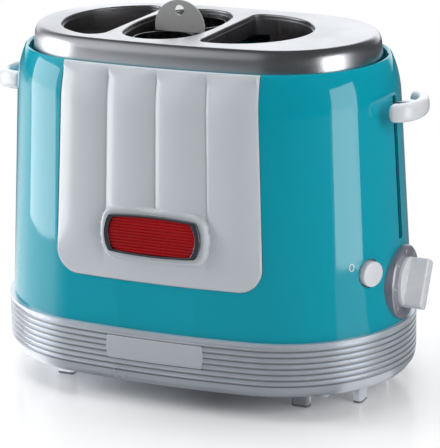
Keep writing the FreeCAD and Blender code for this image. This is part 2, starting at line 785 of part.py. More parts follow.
def panel_blank():
    """Fluted slab: the fading lower end, the full flutes and the shoulder."""
    fade = FLUTE_FULL_Z - FLUTE_START_Z
    low = [PANEL_BOTTOM_Z - RECESS_DEPTH, FLUTE_START_Z, FLUTE_START_Z + fade / 2, FLUTE_FULL_Z]
    drop = RIM_Z - SHOULDER_Z
    high = [SHOULDER_Z, SHOULDER_Z + drop / 2, SHOULDER_Z + 3 * drop / 4, RIM_Z]
    lofts = [Part.makeLoft([panel_section(z) for z in low], True, False)]
    lofts.append(Part.makeLoft([panel_section(z) for z in (FLUTE_FULL_Z, SHOULDER_Z)], True, True))
    lofts.append(Part.makeLoft([panel_section(z) for z in high], True, False))
    return fuse(lofts)


def button_frame(shape):
    """Puts a shape drawn along +X from the origin on the cancel button's axis."""
    radius = body_outline(BUTTON_Z).end_r
    turn = math.radians(BUTTON_ANGLE)
    shape.rotate(V(0, 0, 0), V(0, 0, 1), BUTTON_ANGLE)
    shape.translate(V(SEAM.end_x + radius * math.cos(turn), radius * math.sin(turn), BUTTON_Z))
    return shape


def handle_slot():
    """Upright slot in the lever end."""
    z0 = HANDLE_Z - TRAVEL - TONGUE_H / 2 - SLOT_OVERRUN
    z1 = HANDLE_Z + TONGUE_H / 2 + SLOT_OVERRUN
    return box(PCB_X, SEAM_HALF_X + 1, -SLOT_WIDTH / 2, SLOT_WIDTH / 2, z0, z1)


def body_profile():
    """Section of the body wall: lean, shoulder, lip, gutter and the cover's ledge."""
    crown_z = RIM_Z - LIP_CHAMFER
    outer = wall_point(crown_z)
    inner_x = outer.x - LIP_WIDTH
    ledge_x = wall_point(RIM_Z).x - LID_INSET - LEDGE_INSET
    under = LEDGE_Z - LEDGE_T
    path = [
        outer, V(outer.x - LIP_CHAMFER, 0, RIM_Z), V(inner_x + LIP_CHAMFER, 0, RIM_Z),
        V(inner_x, 0, crown_z), V(inner_x, 0, LEDGE_Z), V(ledge_x, 0, LEDGE_Z), V(ledge_x, 0, under),
        wall_point(under, -BODY_WALL), wall_point(SHOULDER_Z, -BODY_WALL),
        wall_point(SEAM_Z, -BODY_WALL), wall_point(SEAM_Z),
    ]
    return section(wall_curve(0.0, SEAM_Z, crown_z) + lines(path))


def body_shell():
    shell = SEAM.ring(body_profile())
    bosses = []
    for x, y in pillar_places():
        boss = cylinder(PILLAR_R, x, y, SEAM_Z, SEAM_Z + BOSS_HEIGHT)
        bosses.append(boss.cut(cylinder(SCREW_R + RUN, x, y, SEAM_Z - 1, SEAM_Z + BOSS_HEIGHT - 2)))
    recess = wall_band(-RECESS_DEPTH, TRIM_OUT, RIM_Z + 1).common(panel_prism(FIT))
    hole = button_frame(cylinder_x(BUTTON_R + SLIP, -TRIM_OUT, TRIM_OUT, 0, 0))
    shaft = cylinder_x(POT_BUSH_R + RUN, PCB_X, SEAM_HALF_X + 1, 0, KNOB_Z)
    return shell.fuse(bosses).cut([recess, handle_slot(), hole, shaft]).removeSplitter()


def badge_frame(shape):
    """Puts a shape drawn round the origin, facing -Y, on the leaning front panel."""
    front = body_outline(BADGE_Z).y_at(0) + SURROUND_PROUD
    lean = math.atan(WALL_LEAN)
    shape.rotate(V(0, 0, 0), V(1, 0, 0), -math.degrees(lean))
    shape.translate(V(0, -front, BADGE_Z))
    return shape


def badge_prism(grow_x, grow_z, y0, y1):
    """Rounded badge outline, with bulging ends and sides, from y0 to y1."""
    half_x = BADGE_HALF_X + grow_x
    half_z = BADGE_HALF_Z + grow_z
    corners = [V(sx * half_x, y0, sz * half_z) for sx, sz in ((-1, -1), (1, -1), (1, 1), (-1, 1))]
    bulges = [
        V(0, y0, -half_z - BADGE_BULGE_Z), V(half_x + BADGE_BULGE_X, y0, 0),
        V(0, y0, half_z + BADGE_BULGE_Z), V(-half_x - BADGE_BULGE_X, y0, 0),
    ]
    edges = [
        Part.Arc(corners[i], bulges[i], corners[(i + 1) % 4]).toShape() for i in range(4)
    ]
    prism = Part.Face(Part.Wire(edges)).extrude(V(0, y1 - y0, 0))
    upright = [edge for edge in prism.Edges if abs(edge.tangentAt(edge.FirstParameter).y) > 0.99]
    return prism.makeFillet(BADGE_CORNER_R + max(grow_x, 0), upright)


def front_panel():
    behind = wall_band(-TRIM_IN, FIT / 2 - RECESS_DEPTH, RIM_Z + 1)
    panel = panel_blank().common(panel_prism(0.0))
    surround = badge_frame(badge_prism(SURROUND_GROW, SURROUND_GROW, 0, 2 * SURROUND_PROUD))
    seat = badge_frame(badge_prism(FIT, FIT, -BEZEL_PROUD, BEZEL_SEAT))
    return panel.fuse(surround).cut([behind, seat]).removeSplitter()


def badge_bezel():
    frame = badge_prism(0.0, 0.0, -BEZEL_PROUD, BEZEL_SEAT)
    opening = badge_prism(-BEZEL_END, -BEZEL_SIDE, -BEZEL_PROUD - 1, BEZEL_SEAT - SHEET)
    return badge_frame(frame.cut(opening))


def badge_lens():
    """Lens with a row of half-round ribs, let into the bezel."""
    blank = badge_prism(-BEZEL_END - FIT, -BEZEL_SIDE - FIT, -BEZEL_PROUD, BEZEL_SEAT - SHEET)
    height = 2 * (BADGE_HALF_Z + BADGE_BULGE_Z - BEZEL_SIDE)
    pitch = height / LENS_RIBS
    half_x = BADGE_HALF_X + BADGE_BULGE_X
    crest = LENS_DROP - BEZEL_PROUD
    sink = LENS_RIB_R - math.sqrt(LENS_RIB_R ** 2 - (pitch / 2) ** 2)
    ribs = [box(-half_x, half_x, crest + sink, BEZEL_SEAT, -height, height)]
    for rib in range(LENS_RIBS):
        z = (rib + 0.5) * pitch - height / 2
        ribs.append(cylinder_x(LENS_RIB_R, -half_x, half_x, crest + LENS_RIB_R, z))
    return badge_frame(blank.common(fuse(ribs)).removeSplitter())


# ---------------------------------------------------------------- cover

def cover_profile():
    """Section of the cover's rolled edge and skirt."""
    crease = LID_Z - CAP_DEPTH
    step = LID_ROLL + SKIRT_STEP
    foot = step + SKIRT_FLARE
    roll_z = LID_Z - LID_ROLL
    outer = quarter_turn(LID_ROLL, roll_z, LID_ROLL, LID_ROLL)
    inner = quarter_turn(LID_ROLL - SHEET, roll_z, LID_ROLL - SHEET, LID_ROLL - SHEET)
    skirt = [
        V(LID_ROLL - SHEET, 0, crease), V(step - SHEET, 0, crease - SKIRT_STEP),
        V(foot - SHEET, 0, LEDGE_Z), V(foot, 0, LEDGE_Z),
        V(step, 0, crease - SKIRT_STEP / 2), V(LID_ROLL, 0, crease),
    ]
    path = outer[::-1][:-1] + [outer[0]] + skirt[::-1] + [inner[0]] + inner[1:]
    return section(lines(path + path[:1]))


def well_oval():
    return Oval(WELL_HALF_Y, WELL_HALF_X, WELL_SIDE_R)


def well_prism(grow, z0, z1):
    """Prism with the sausage opening's outline."""
    shape = well_oval().inset(-grow).prism(z0, z1)
    shape.rotate(V(0, 0, 0), V(0, 0, 1), 90)
    shape.translate(V(WELL_X, 0, 0))
    return shape


def top_cover():
    """Sheet with a rolled edge, a skirt and a lip round each of its three openings."""
    low = LID_Z - LIP_DEPTH
    cover = LID.ring(cover_profile()).fuse(LID.prism(LID_Z - SHEET, LID_Z))
    lips = [bun.grow(SHEET).prism(low, LID_Z) for bun in BUNS.values()]
    lips.append(well_prism(SHEET, low, LID_Z))
    holes = [bun.prism(low - 1, LID_Z + 1) for bun in BUNS.values()]
    holes.append(well_prism(0.0, low - 1, LID_Z + 1))
    cover = cover.fuse(lips).cut(holes).removeSplitter()
    rim = LID.inset(COLLAR_CHAMFER)
    mouth = []
    for edge in cover.Edges:
        point = edge.valueAt((edge.FirstParameter + edge.LastParameter) / 2)
        inside = abs(point.x) < rim.half_x and abs(point.y) < rim.y_at(point.x)
        if inside and edge.BoundBox.ZMin > LID_Z - FIT:
            mouth.append(edge)
    return cover.makeChamfer(COLLAR_CHAMFER, mouth)


def bun_collar(bun):
    """Upright sheet below the cover's lip, round a bun opening."""
    z0, z1 = LID_Z - COLLAR_DEPTH, LID_Z - LIP_DEPTH
    return bun.grow(SHEET).prism(z0, z1).cut(bun.prism(z0 - 1, z1 + 1))


def basket_collar():
    """Upright sheet below the cover's lip, round the sausage opening."""
    z0, z1 = LID_Z - COLLAR_DEPTH, LID_Z - LIP_DEPTH
    return well_prism(SHEET, z0, z1).cut(well_prism(0.0, z0 - 1, z1 + 1))


# ---------------------------------------------------------------- wells and heaters

def deck_plate():
    plate = SEAM.inset(DECK_INSET).prism(DECK_Z - DECK_T, DECK_Z)
    tools = [bun.grow(-LIFTER_GAP).prism(DECK_Z - 2 * DECK_T, DECK_Z + 1) for bun in BUNS.values()]
    tools.append(well_prism(-LIFTER_GAP, DECK_Z - 2 * DECK_T, DECK_Z + 1))
    for x, y in pillar_places():
        tools.append(cylinder(PILLAR_R + SLIP, x, y, DECK_Z - 2 * DECK_T, DECK_Z + 1))
    return plate.cut(tools)


def bun_liner(bun):
    """Curved sheet round the outer side of a bun well, open towards the heater."""
    outer = bun.grow(LINER_GAP + LINER_T).prism(DECK_Z, LINER_TOP)
    inner = bun.grow(LINER_GAP).prism(DECK_Z - 1, LINER_TOP + 1)
    edge = bun.edge_x
    ends = sorted((edge - bun.side * 2 * LINER_OPEN, edge + bun.side * LINER_OPEN))
    gap = box(ends[0], ends[1], -2 * WELL_HALF_Y, 2 * WELL_HALF_Y, DECK_Z - 1, LINER_TOP + 1)
    tools = [inner, gap]
    if bun.side > 0:
        tools.append(bar_slot(bun.tip_x - LIFTER_GAP, bun.tip_x + 2 * LIFTER_GAP))
    return outer.cut(tools)


def bar_slot(x0, x1):
    """Upright slot for the lift bar, over its whole travel."""
    z0 = BAR_Z0 - TRAVEL - LIFTER_GAP / 2
    z1 = BAR_Z1 + LIFTER_GAP / 2
    return box(x0, x1, -BOARD_SLOT / 2, BOARD_SLOT / 2, z0, z1)


def basket_liner():
    """Curved front and back sheets of the sausage well."""
    outer = well_prism(LINER_GAP + LINER_T, DECK_Z, LINER_TOP)
    inner = well_prism(LINER_GAP, DECK_Z - 1, LINER_TOP + 1)
    reach = BOARD_HALF_Y - LINER_T
    middle = box(
        WELL_X - 2 * WELL_HALF_X, WELL_X + 2 * WELL_HALF_X, -reach, reach, DECK_Z - 1, LINER_TOP + 1)
    return Part.makeCompound(outer.cut([inner, middle]).Solids)


def heater_board(side):
    x = BOARDS_X[side]
    board = box(x - BOARD_T / 2, x + BOARD_T / 2, -BOARD_HALF_Y, BOARD_HALF_Y, DECK_Z, BOARD_TOP)
    return board.cut(bar_slot(x - BOARD_T, x + BOARD_T))


def heater_ribbons(side):
    """Flat resistance ribbon wound to and fro on the board's inner face."""
    x = BOARDS_X[side]
    inward = 1 if side == "left" else -1
    x0, x1 = sorted((x + inward * BOARD_T / 2, x + inward * (BOARD_T / 2 + RIBBON_T)))
    reach = BOARD_HALF_Y - RIBBON_IN
    low = DECK_Z + 3 * RIBBON_H
    step = (BOARD_TOP - 2 * RIBBON_H - low) / RIBBON_ROWS
    slot_top = BAR_Z1 + LIFTER_GAP
    groups = []
    for y0, y1 in ((-reach, -BOARD_SLOT), (BOARD_SLOT, reach)):
        rows = []
        for row in range(RIBBON_ROWS):
            z = low + row * step
            rows.append(box(x0, x1, y0, y1, z, z + RIBBON_H))
            if row:
                y = y1 - RIBBON_H if row % 2 else y0
                rows.append(box(x0, x1, y, y + RIBBON_H, z - step, z + RIBBON_H))
        groups.append(fuse(rows).removeSplitter())
    top = low + (RIBBON_ROWS - 1) * step
    if top > slot_top:
        groups.append(box(x0, x1, -BOARD_SLOT, BOARD_SLOT, top, top + RIBBON_H))
    return fuse(groups).removeSplitter()


def bun_guard(side):
    """Upright wires that keep a bun off the heater, tied by two cross wires."""
    bun = BUNS[side]
    x = bun.edge_x + bun.side * GUARD_WIRE_R
    wires = [cylinder(GUARD_WIRE_R, x, y, DECK_Z, BOARD_TOP) for y in GUARD_WIRES_Y]
    reach = GUARD_WIRES_Y[-1] + GUARD_WIRE_R
    cross_x = x - 2 * bun.side * GUARD_WIRE_R
    for z in (BOARD_TOP - 2 * GUARD_WIRE_R, BAR_Z1 + 2 * LIFTER_GAP):
        wires.append(Part.makeCylinder(GUARD_WIRE_R, 2 * reach, V(cross_x, -reach, z), V(0, 1, 0)))
    return Part.makeCompound(wires)


# ---------------------------------------------------------------- mechanism

def mechanism_plate():
    plate = box(MECH_X, MECH_X + MECH_T, -MECH_HALF_Y, MECH_HALF_Y, DECK_Z, ROD_TOP_Z)
    return plate.cut(bar_slot(MECH_X - 1, MECH_X + MECH_T + 1))


def rod_bracket():
    """Arm from the mechanism plate that holds the top of the guide rod."""
    arm = box(MECH_X + MECH_T, ROD_X, ROD_Y - BUSH_R, ROD_Y + BUSH_R, ROD_TOP_Z - BRACKET_T, ROD_TOP_Z)
    nose = cylinder(BUSH_R, ROD_X, ROD_Y, ROD_TOP_Z - BRACKET_T, ROD_TOP_Z)
    return arm.fuse(nose).cut(cylinder(ROD_R + RUN, ROD_X, ROD_Y, DECK_Z, ROD_TOP_Z + 1))


def guide_rod():
    return cylinder(ROD_R, ROD_X, ROD_Y, DECK_Z, ROD_TOP_Z)


def magnet_top():
    return LOW_Z + KEEPER_RISE - MAGNET_GAP


def magnet_yoke():
    """U-shaped iron core with its legs up."""
    block = box(MAGNET_X0, MAGNET_X1, MAGNET_Y0, MAGNET_Y1, DECK_Z, magnet_top())
    return block.cut(box(
        MAGNET_X0 + YOKE_T, MAGNET_X1 - YOKE_T, MAGNET_Y0 - 1, MAGNET_Y1 + 1,
        DECK_Z + YOKE_T, magnet_top() + 1))


def magnet_coil():
    """Winding between the yoke's legs."""
    y = (MAGNET_Y0 + MAGNET_Y1) / 2
    radius = (MAGNET_X1 - MAGNET_X0) / 2 - YOKE_T - SLIP
    return cylinder(radius, (MAGNET_X0 + MAGNET_X1) / 2, y, DECK_Z + YOKE_T, magnet_top() - MAGNET_GAP)


def control_board():
    top = BUTTON_Z + PCB_TOP_RISE
    return box(PCB_X, PCB_X + PCB_T, -PCB_HALF_Y, PCB_HALF_Y, DECK_Z, top)


def timer_pot():
    x = PCB_X + PCB_T
    can = cylinder_x(POT_R, x, x + POT_DEPTH, 0, KNOB_Z)
    bush = cylinder_x(POT_BUSH_R, x + POT_DEPTH, x + POT_DEPTH + POT_BUSH_LENGTH, 0, KNOB_Z)
    return can.fuse(bush).cut(cylinder_x(SHAFT_R + RUN, x + PCB_T, x + 3 * POT_DEPTH, 0, KNOB_Z))


def switch_face():
    """Distance from the cancel button's origin back to the switch plunger."""
    return -(BODY_WALL + BUTTON_SET + BUTTON_FLANGE + STEM_LENGTH)


def cancel_switch():
    """Switch on the control board that faces the cancel button."""
    half = SWITCH_SIZE / 2
    face = switch_face() - BUTTON_TRAVEL - SLIP
    body = button_frame(box(face - 2 * SWITCH_SIZE, face, -half, half, -half, half))
    return body.common(box(
        PCB_X + PCB_T, SEAM_HALF_X, -PCB_HALF_Y, 0, BUTTON_Z - SWITCH_SIZE, BUTTON_Z + SWITCH_SIZE))


def terminal_block():
    """Stepped block on the base's floor, beside the crumb tray."""
    x0 = RISER_X0
    x1 = x0 + TERMINAL_X
    middle = FLOOR_Z + TERMINAL_H
    low = box(x0, x1, TERMINAL_Y0, TERMINAL_Y1, FLOOR_Z, middle)
    high = box(
        x0 + TERMINAL_STEP, x1 - TERMINAL_STEP, TERMINAL_Y0, TERMINAL_Y1, middle, middle + TERMINAL_TOP_H)
    return low.fuse(high).removeSplitter()


def carriage_bracket():
    """Upright plate: lift bar under the wells, riser at the lever end and tongue."""
    half = BRACKET_T / 2
    bar_x0 = LEFT_BUN.tip_x + 2 * LIFTER_GAP
    tongue_x1 = wall_x(HANDLE_Z) + GRIP_REACH - GRIP_BAR / 2
    parts = [
        box(bar_x0, RISER_X1, -half, half, BAR_Z0, BAR_Z1),
        box(RISER_X0, RISER_X1, -half, half, BAR_Z0, HANDLE_Z + TONGUE_H / 2),
        box(RISER_X0, tongue_x1, -half, half, HANDLE_Z - TONGUE_H / 2, HANDLE_Z + TONGUE_H / 2),
    ]
    return fuse(parts).removeSplitter()


def carriage_bush():
    """Slide bush on the guide rod with a lug on the bracket."""
    z0 = BUSH_TOP_Z - BUSH_H
    bush = cylinder(BUSH_R, ROD_X, ROD_Y, z0, BUSH_TOP_Z)
    lug = box(ROD_X - BUSH_R, ROD_X + BUSH_R, BRACKET_T / 2, ROD_Y, z0, BUSH_TOP_Z)
    return bush.fuse(lug).cut(cylinder(ROD_R + RUN, ROD_X, ROD_Y, z0 - 1, BUSH_TOP_Z + 1))


def bun_lifter(side):
    """Plate under a bun, with slots that let crumbs fall."""
    bun = BUNS[side].grow(-LIFTER_GAP)
    plate = bun.prism(BAR_Z1, REST_Z)
    x0, x1 = sorted((bun.edge_x, bun.tip_x))
    strips = [
        box(x0, x1, y - LIFTER_SLOT_Y / 2, y + LIFTER_SLOT_Y / 2, BAR_Z1 - 1, REST_Z + 1)
        for y in LIFTER_SLOTS
    ]
    room = bun.grow(-LIFTER_EDGE).prism(BAR_Z1 - 1, REST_Z + 1)
    return plate.cut([room.common(strip) for strip in strips])


def basket_rest():
    """Crossed plate under the sausage basket."""
    reach = TUBE_Y + TUBE_R / 2
    bars = [box(BASKET_X - REST_BAR / 2, BASKET_X + REST_BAR / 2, -reach, reach, BAR_Z1, REST_Z)]
    for y in (-TUBE_Y, TUBE_Y):
        bars.append(box(
            BASKET_X - TUBE_R / 2, BASKET_X + TUBE_R / 2, y - REST_CROSS / 2, y + REST_CROSS / 2,
            BAR_Z1, REST_Z))
    return fuse(bars).removeSplitter()


def keeper_plate():
    """Iron keeper that the magnet holds when the carriage is down."""
    z0 = REST_Z + KEEPER_RISE
    return box(MAGNET_X0, MAGNET_X1, MAGNET_Y0, -BRACKET_T / 2, z0, z0 + KEEPER_T)


def carriage_spring():
    """Coil round the guide rod, from the deck to the bush."""
    z0 = DECK_Z
    z1 = BUSH_TOP_Z - BUSH_H
    outer = cylinder(SPRING_R, ROD_X, ROD_Y, z0, z1)
    inner = cylinder(SPRING_R - SPRING_WIRE, ROD_X, ROD_Y, z0 - 1, z1 + 1)
    return outer.cut(inner)


def grip_plan(leg_end):
    """C-shaped bar in plan, drawn towards +X, with its legs starting at leg_end."""
    outer_x = wall_x(HANDLE_Z) + GRIP_REACH

    def u_prism(inset, x0):
        half = GRIP_HALF_Y - inset
        solid = box(x0, outer_x - inset, -half, half, HANDLE_Z - GRIP_H / 2, HANDLE_Z + GRIP_H / 2)
        corners = [
            edge for edge in solid.Edges
            if abs(edge.tangentAt(edge.FirstParameter).z) > 0.99 and edge.CenterOfMass.x > x0 + 1
        ]
        return solid.makeFillet(GRIP_CORNER_R - inset, corners)

    bar = u_prism(0.0, leg_end).cut(u_prism(GRIP_BAR, leg_end - 10))
    return bar


def ease_grip(bar, x_min):
    """Chamfers the long edges of a grip beyond x_min."""
    edges = [
        edge for edge in bar.Edges
        if edge.BoundBox.ZMax - edge.BoundBox.ZMin < FIT and edge.CenterOfMass.x > x_min
    ]
    return bar.makeChamfer(GRIP_CHAMFER, edges)


def clear_of_wall(y):
    """X that the lowered handle keeps to, so that it runs down clear of the leaning wall."""
    return wall_x(HANDLE_Z - TRAVEL - GRIP_H / 2, y) + HANDLE_GAP


def lever_handle():
    """Lever handle: a C-shaped bar whose stub grips the carriage tongue."""
    leg_end = clear_of_wall(GRIP_HALF_Y - GRIP_BAR)
    bar = ease_grip(grip_plan(leg_end), leg_end + FIT)
    stub_x0 = clear_of_wall(0)
    stub_x1 = wall_x(HANDLE_Z) + GRIP_REACH - GRIP_BAR / 2
    half_z = STUB_HALF + TONGUE_H / 4
    stub = box(stub_x0, stub_x1, -STUB_HALF, STUB_HALF, HANDLE_Z - half_z, HANDLE_Z + half_z)
    half_y = BRACKET_T / 2 + RUN
    half_z = TONGUE_H / 2 + RUN
    socket = box(stub_x0 - 1, stub_x1 + RUN, -half_y, half_y, HANDLE_Z - half_z, HANDLE_Z + half_z)
    return bar.fuse(stub).cut(socket)


def side_grip():
    """Fixed grip on the other end, whose legs meet the wall."""
    leg_end = wall_x(HANDLE_Z, GRIP_HALF_Y) - 2 * BODY_WALL
    bar = ease_grip(grip_plan(leg_end), leg_end + FIT)
    bar = bar.cut(wall_band(-TRIM_IN, 0.0))
    return bar.mirror(V(0, 0, 0), V(1, 0, 0))


# ---------------------------------------------------------------- dial and button

def end_disc(radius, x0, x1, chamfer):
    """Disc on the dial's axis with its outer edge chamfered."""
    disc = cylinder_x(radius, x0, x1, 0, 0)
    edges = [edge for edge in disc.Edges if abs(edge.CenterOfMass.x - x1) < FIT]
    disc = disc.makeChamfer(chamfer, edges)
    disc.translate(V(0, 0, KNOB_Z))
    return disc


def dial_ring():
    """Round plinth on the curved wall, with a well for the knob."""
    ring = end_disc(DIAL_R, wall_x(KNOB_Z, DIAL_R) - 2 * BODY_WALL, DIAL_FRONT, DIAL_CHAMFER)
    well = cylinder_x(KNOB_R + KNOB_GAP, DIAL_FRONT - KNOB_WELL, DIAL_FRONT + 1, 0, KNOB_Z)
    shaft = cylinder_x(SHAFT_R + SLIP, 0, DIAL_FRONT, 0, KNOB_Z)
    return ring.cut([well, shaft, wall_band(-TRIM_IN, 0.0)])


def browning_knob():
    """Disc with a tall wing across it."""
    back = DIAL_FRONT - KNOB_WELL + KNOB_GAP
    disc = cylinder_x(KNOB_R, back, KNOB_FACE, 0, KNOB_Z)
    blank = end_disc(KNOB_R, KNOB_FACE - WING_CHAMFER, WING_TIP, WING_CHAMFER)
    wing = box(KNOB_FACE, WING_TIP + 1, -WING_T / 2, WING_T / 2, -2 * KNOB_R, 2 * KNOB_R)
    wing.rotate(V(0, 0, 0), V(1, 0, 0), WING_TILT)
    wing.translate(V(0, 0, KNOB_Z))
    knob = disc.fuse(blank.common(wing)).removeSplitter()
    return knob.cut(cylinder_x(SHAFT_R, back - 1, KNOB_FACE, 0, KNOB_Z))


def knob_shaft():
    return cylinder_x(SHAFT_R, PCB_X + 2 * PCB_T, KNOB_FACE, 0, KNOB_Z)


def cancel_button():
    """Round button with a flange inside the wall and a stem to the switch."""
    seat = -BODY_WALL - BUTTON_SET
    cap = cylinder_x(BUTTON_R, seat, BUTTON_PROUD, 0, 0)
    rim = [edge for edge in cap.Edges if abs(edge.CenterOfMass.x - BUTTON_PROUD) < FIT]
    cap = cap.makeChamfer(BUTTON_CHAMFER, rim)
    flange = cylinder_x(BUTTON_FLANGE_R, seat - BUTTON_FLANGE, seat, 0, 0)
    stem = cylinder_x(SHAFT_R, switch_face(), seat - BUTTON_FLANGE, 0, 0)
    return button_frame(fuse([cap, flange, stem]))


# ---------------------------------------------------------------- basket

def basket_tube(y):
    """Round sausage tube with upright windows and a cross floor."""
    top = LID_Z - TUBE_TOP_DROP
    tube = cylinder(TUBE_R, BASKET_X, y, REST_Z, top)
    bore = cylinder(TUBE_R - TUBE_T, BASKET_X, y, REST_Z + TUBE_FLOOR, top + 1)
    hole = cylinder(TUBE_R / 2, BASKET_X, y, REST_Z - 1, top)
    tube = tube.cut([bore, hole])
    windows = []
    for step in range(int(360 / TUBE_WINDOW_STEP)):
        window = box(
            TUBE_R / 2, TUBE_R + 2, -TUBE_WINDOW_W / 2, TUBE_WINDOW_W / 2,
            REST_Z + 4 * TUBE_FLOOR, top - 2 * TUBE_WINDOW_W)
        window.rotate(V(0, 0, 0), V(0, 0, 1), (step + 0.5) * TUBE_WINDOW_STEP)
        window.translate(V(BASKET_X, y, 0))
        windows.append(window)
    return tube.cut(windows)


def sausage_basket():
    """Two tubes tied by a web between them."""
    top = LID_Z - TUBE_TOP_DROP
    reach = TUBE_SPLIT / 2 + WEB_LAP
    half = WEB_HALF_X / 2
    web = box(BASKET_X - 2 * half, BASKET_X + 2 * half, -reach, reach, top - 2 * TAB_T, top - TAB_T)
    low_web = box(BASKET_X - half, BASKET_X + half, -reach, reach, REST_Z, REST_Z + TAB_T)
    tubes = [basket_tube(y) for y in (-TUBE_Y, TUBE_Y)]
    bores = [cylinder(TUBE_R - TUBE_T, BASKET_X, y, REST_Z - 1, top + 1) for y in (-TUBE_Y, TUBE_Y)]
    webs = web.fuse(low_web).cut(bores)
    return fuse(tubes + [webs])


def basket_handle():
    """Half-round lifting tab with a finger hole, standing on the web."""
    tip = LID_Z + TAB_RISE
    foot = LID_Z - TUBE_TOP_DROP - TAB_T
    disc = Part.makeCylinder(TAB_R, TAB_T, V(BASKET_X, -TAB_T / 2, tip - TAB_R), V(0, 1, 0))
    disc = disc.common(box(
        BASKET_X - TAB_R, BASKET_X + TAB_R, -TAB_T, TAB_T, tip - TAB_R, tip + 1))
    leg = box(BASKET_X - TAB_R, BASKET_X + TAB_R, -TAB_T / 2, TAB_T / 2, foot, tip - TAB_R)
    hole = Part.makeCylinder(TAB_HOLE_R, 2 * TAB_T, V(BASKET_X, -TAB_T, tip - TAB_HOLE_DROP), V(0, 1, 0))
    return disc.fuse(leg).removeSplitter().cut(hole)


# ---------------------------------------------------------------- crumb tray

def tray_prism(inset, z0, z1):
    """Tray's plan: a rectangle that keeps inside the base's wall in front and reaches its lip behind."""
    plan = box(TRAY_X0 + inset, TRAY_X1 - inset, TRAY_Y0 + inset, SEAM_HALF_Y, z0, z1)
    behind = SEAM.inset(BASE_ROLL - BASE_PROUD + inset).prism(z0, z1)
    front = SEAM.inset(BASE_ROLL - BASE_PROUD + FLOOR_T + SLIP + inset).prism(z0, z1)
    back = box(-SEAM_HALF_X, SEAM_HALF_X, SEAM_HALF_Y / 2, SEAM_HALF_Y, z0, z1)
    return plan.common(front.fuse(behind.common(back)))


def crumb_tray():
    """Shallow pan whose back lip closes the slot in the base."""
    z0 = FLOOR_Z + SLIP
    z1 = z0 + TRAY_H
    pan = tray_prism(0.0, z0, z1).cut(tray_prism(TRAY_T, z0 + TRAY_T, z1 + 1))
    lip = SEAM.ring(base_profile()).common(tray_slot(SLIP))
    return pan.fuse(lip).removeSplitter()


# ---------------------------------------------------------------- output

NODES = {
    "base_housing": base_housing,
    "foot_posts": foot_posts,
    "foot_pads": foot_pads,
    "name_plate": name_plate,
    "cord_gland": cord_gland,
    "base_screws": base_screws,
    "body_shell": body_shell,
    "front_panel": front_panel,
    "badge_bezel": badge_bezel,
    "badge_lens": badge_lens,
    "top_cover": top_cover,
    "bun_collar_left": lambda: bun_collar(LEFT_BUN),
    "bun_collar_right": lambda: bun_collar(RIGHT_BUN),
    "basket_collar": basket_collar,
    "side_grip": side_grip,
    "dial_ring": dial_ring,
    "deck_plate": deck_plate,
    "bun_liner_left": lambda: bun_liner(LEFT_BUN),
    "bun_liner_right": lambda: bun_liner(RIGHT_BUN),
    "basket_liner": basket_liner,
    "heater_board_left": lambda: heater_board("left"),
    "heater_board_right": lambda: heater_board("right"),
    "heater_ribbons_left": lambda: heater_ribbons("left"),
    "heater_ribbons_right": lambda: heater_ribbons("right"),
    "bun_guard_left": lambda: bun_guard("left"),
    "bun_guard_right": lambda: bun_guard("right"),
    "mechanism_plate": mechanism_plate,
    "rod_bracket": rod_bracket,
    "guide_rod": guide_rod,
    "magnet_yoke": magnet_yoke,
    "magnet_coil": magnet_coil,
    "control_board": control_board,
    "timer_pot": timer_pot,
    "cancel_switch": cancel_switch,
    "terminal_block": terminal_block,
    "carriage_bracket": carriage_bracket,
    "carriage_bush": carriage_bush,
    "bun_lifter_left": lambda: bun_lifter("left"),
    "bun_lifter_right": lambda: bun_lifter("right"),
    "basket_rest": basket_rest,
    "keeper_plate": keeper_plate,
    "carriage_spring": carriage_spring,
    "lever_handle": lever_handle,
    "browning_knob": browning_knob,
    "knob_shaft": knob_shaft,
    "cancel_button": cancel_button,
    "sausage_basket": sausage_basket,
    "basket_handle": basket_handle,
    "crumb_tray": crumb_tray,
}

os.makedirs("parts", exist_ok=True)
for name, make in NODES.items():
    make().exportStep(f"parts/{name}.step")
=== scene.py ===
import json
from math import asin, atan, atan2, copysign, cos, hypot, pi, radians, sin, sqrt

import bmesh
import bpy
from bpy.props import FloatProperty, FloatVectorProperty, IntProperty, PointerProperty
from mathutils import Matrix, Vector


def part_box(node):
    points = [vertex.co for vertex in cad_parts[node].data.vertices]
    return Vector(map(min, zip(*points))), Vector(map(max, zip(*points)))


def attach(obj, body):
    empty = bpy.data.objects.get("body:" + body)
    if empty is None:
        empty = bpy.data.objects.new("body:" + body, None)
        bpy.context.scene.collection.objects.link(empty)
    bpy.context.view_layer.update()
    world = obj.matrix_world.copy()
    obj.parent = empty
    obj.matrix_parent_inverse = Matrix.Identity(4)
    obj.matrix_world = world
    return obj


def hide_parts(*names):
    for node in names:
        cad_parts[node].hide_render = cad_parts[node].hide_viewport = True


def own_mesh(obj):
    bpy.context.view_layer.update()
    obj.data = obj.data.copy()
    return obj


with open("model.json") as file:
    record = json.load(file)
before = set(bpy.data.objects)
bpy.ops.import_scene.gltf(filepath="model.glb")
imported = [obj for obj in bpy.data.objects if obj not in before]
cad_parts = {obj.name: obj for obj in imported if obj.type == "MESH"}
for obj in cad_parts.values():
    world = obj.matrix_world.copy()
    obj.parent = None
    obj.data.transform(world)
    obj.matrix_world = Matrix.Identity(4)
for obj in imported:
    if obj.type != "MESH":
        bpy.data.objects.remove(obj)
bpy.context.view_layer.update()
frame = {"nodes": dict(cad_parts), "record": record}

bl_info = {
    "name": "Hot Dog Toaster",
    "version": (1, 0, 0),
    "blender": (4, 5, 0),
    "location": "3D View > Sidebar > Toaster",
    "description": "Dresses the toaster's frame with finished pieces and sets up its studio",
    "category": "Object",
}

MM = 0.001
WELD = 0.004 * MM
FACET = radians(0.1)
NODES = frame["nodes"]
RECORD = frame["record"]
BODIES = {node: body for body, nodes in RECORD["behaviour"]["bodies"].items() for node in nodes}


# ---- settings

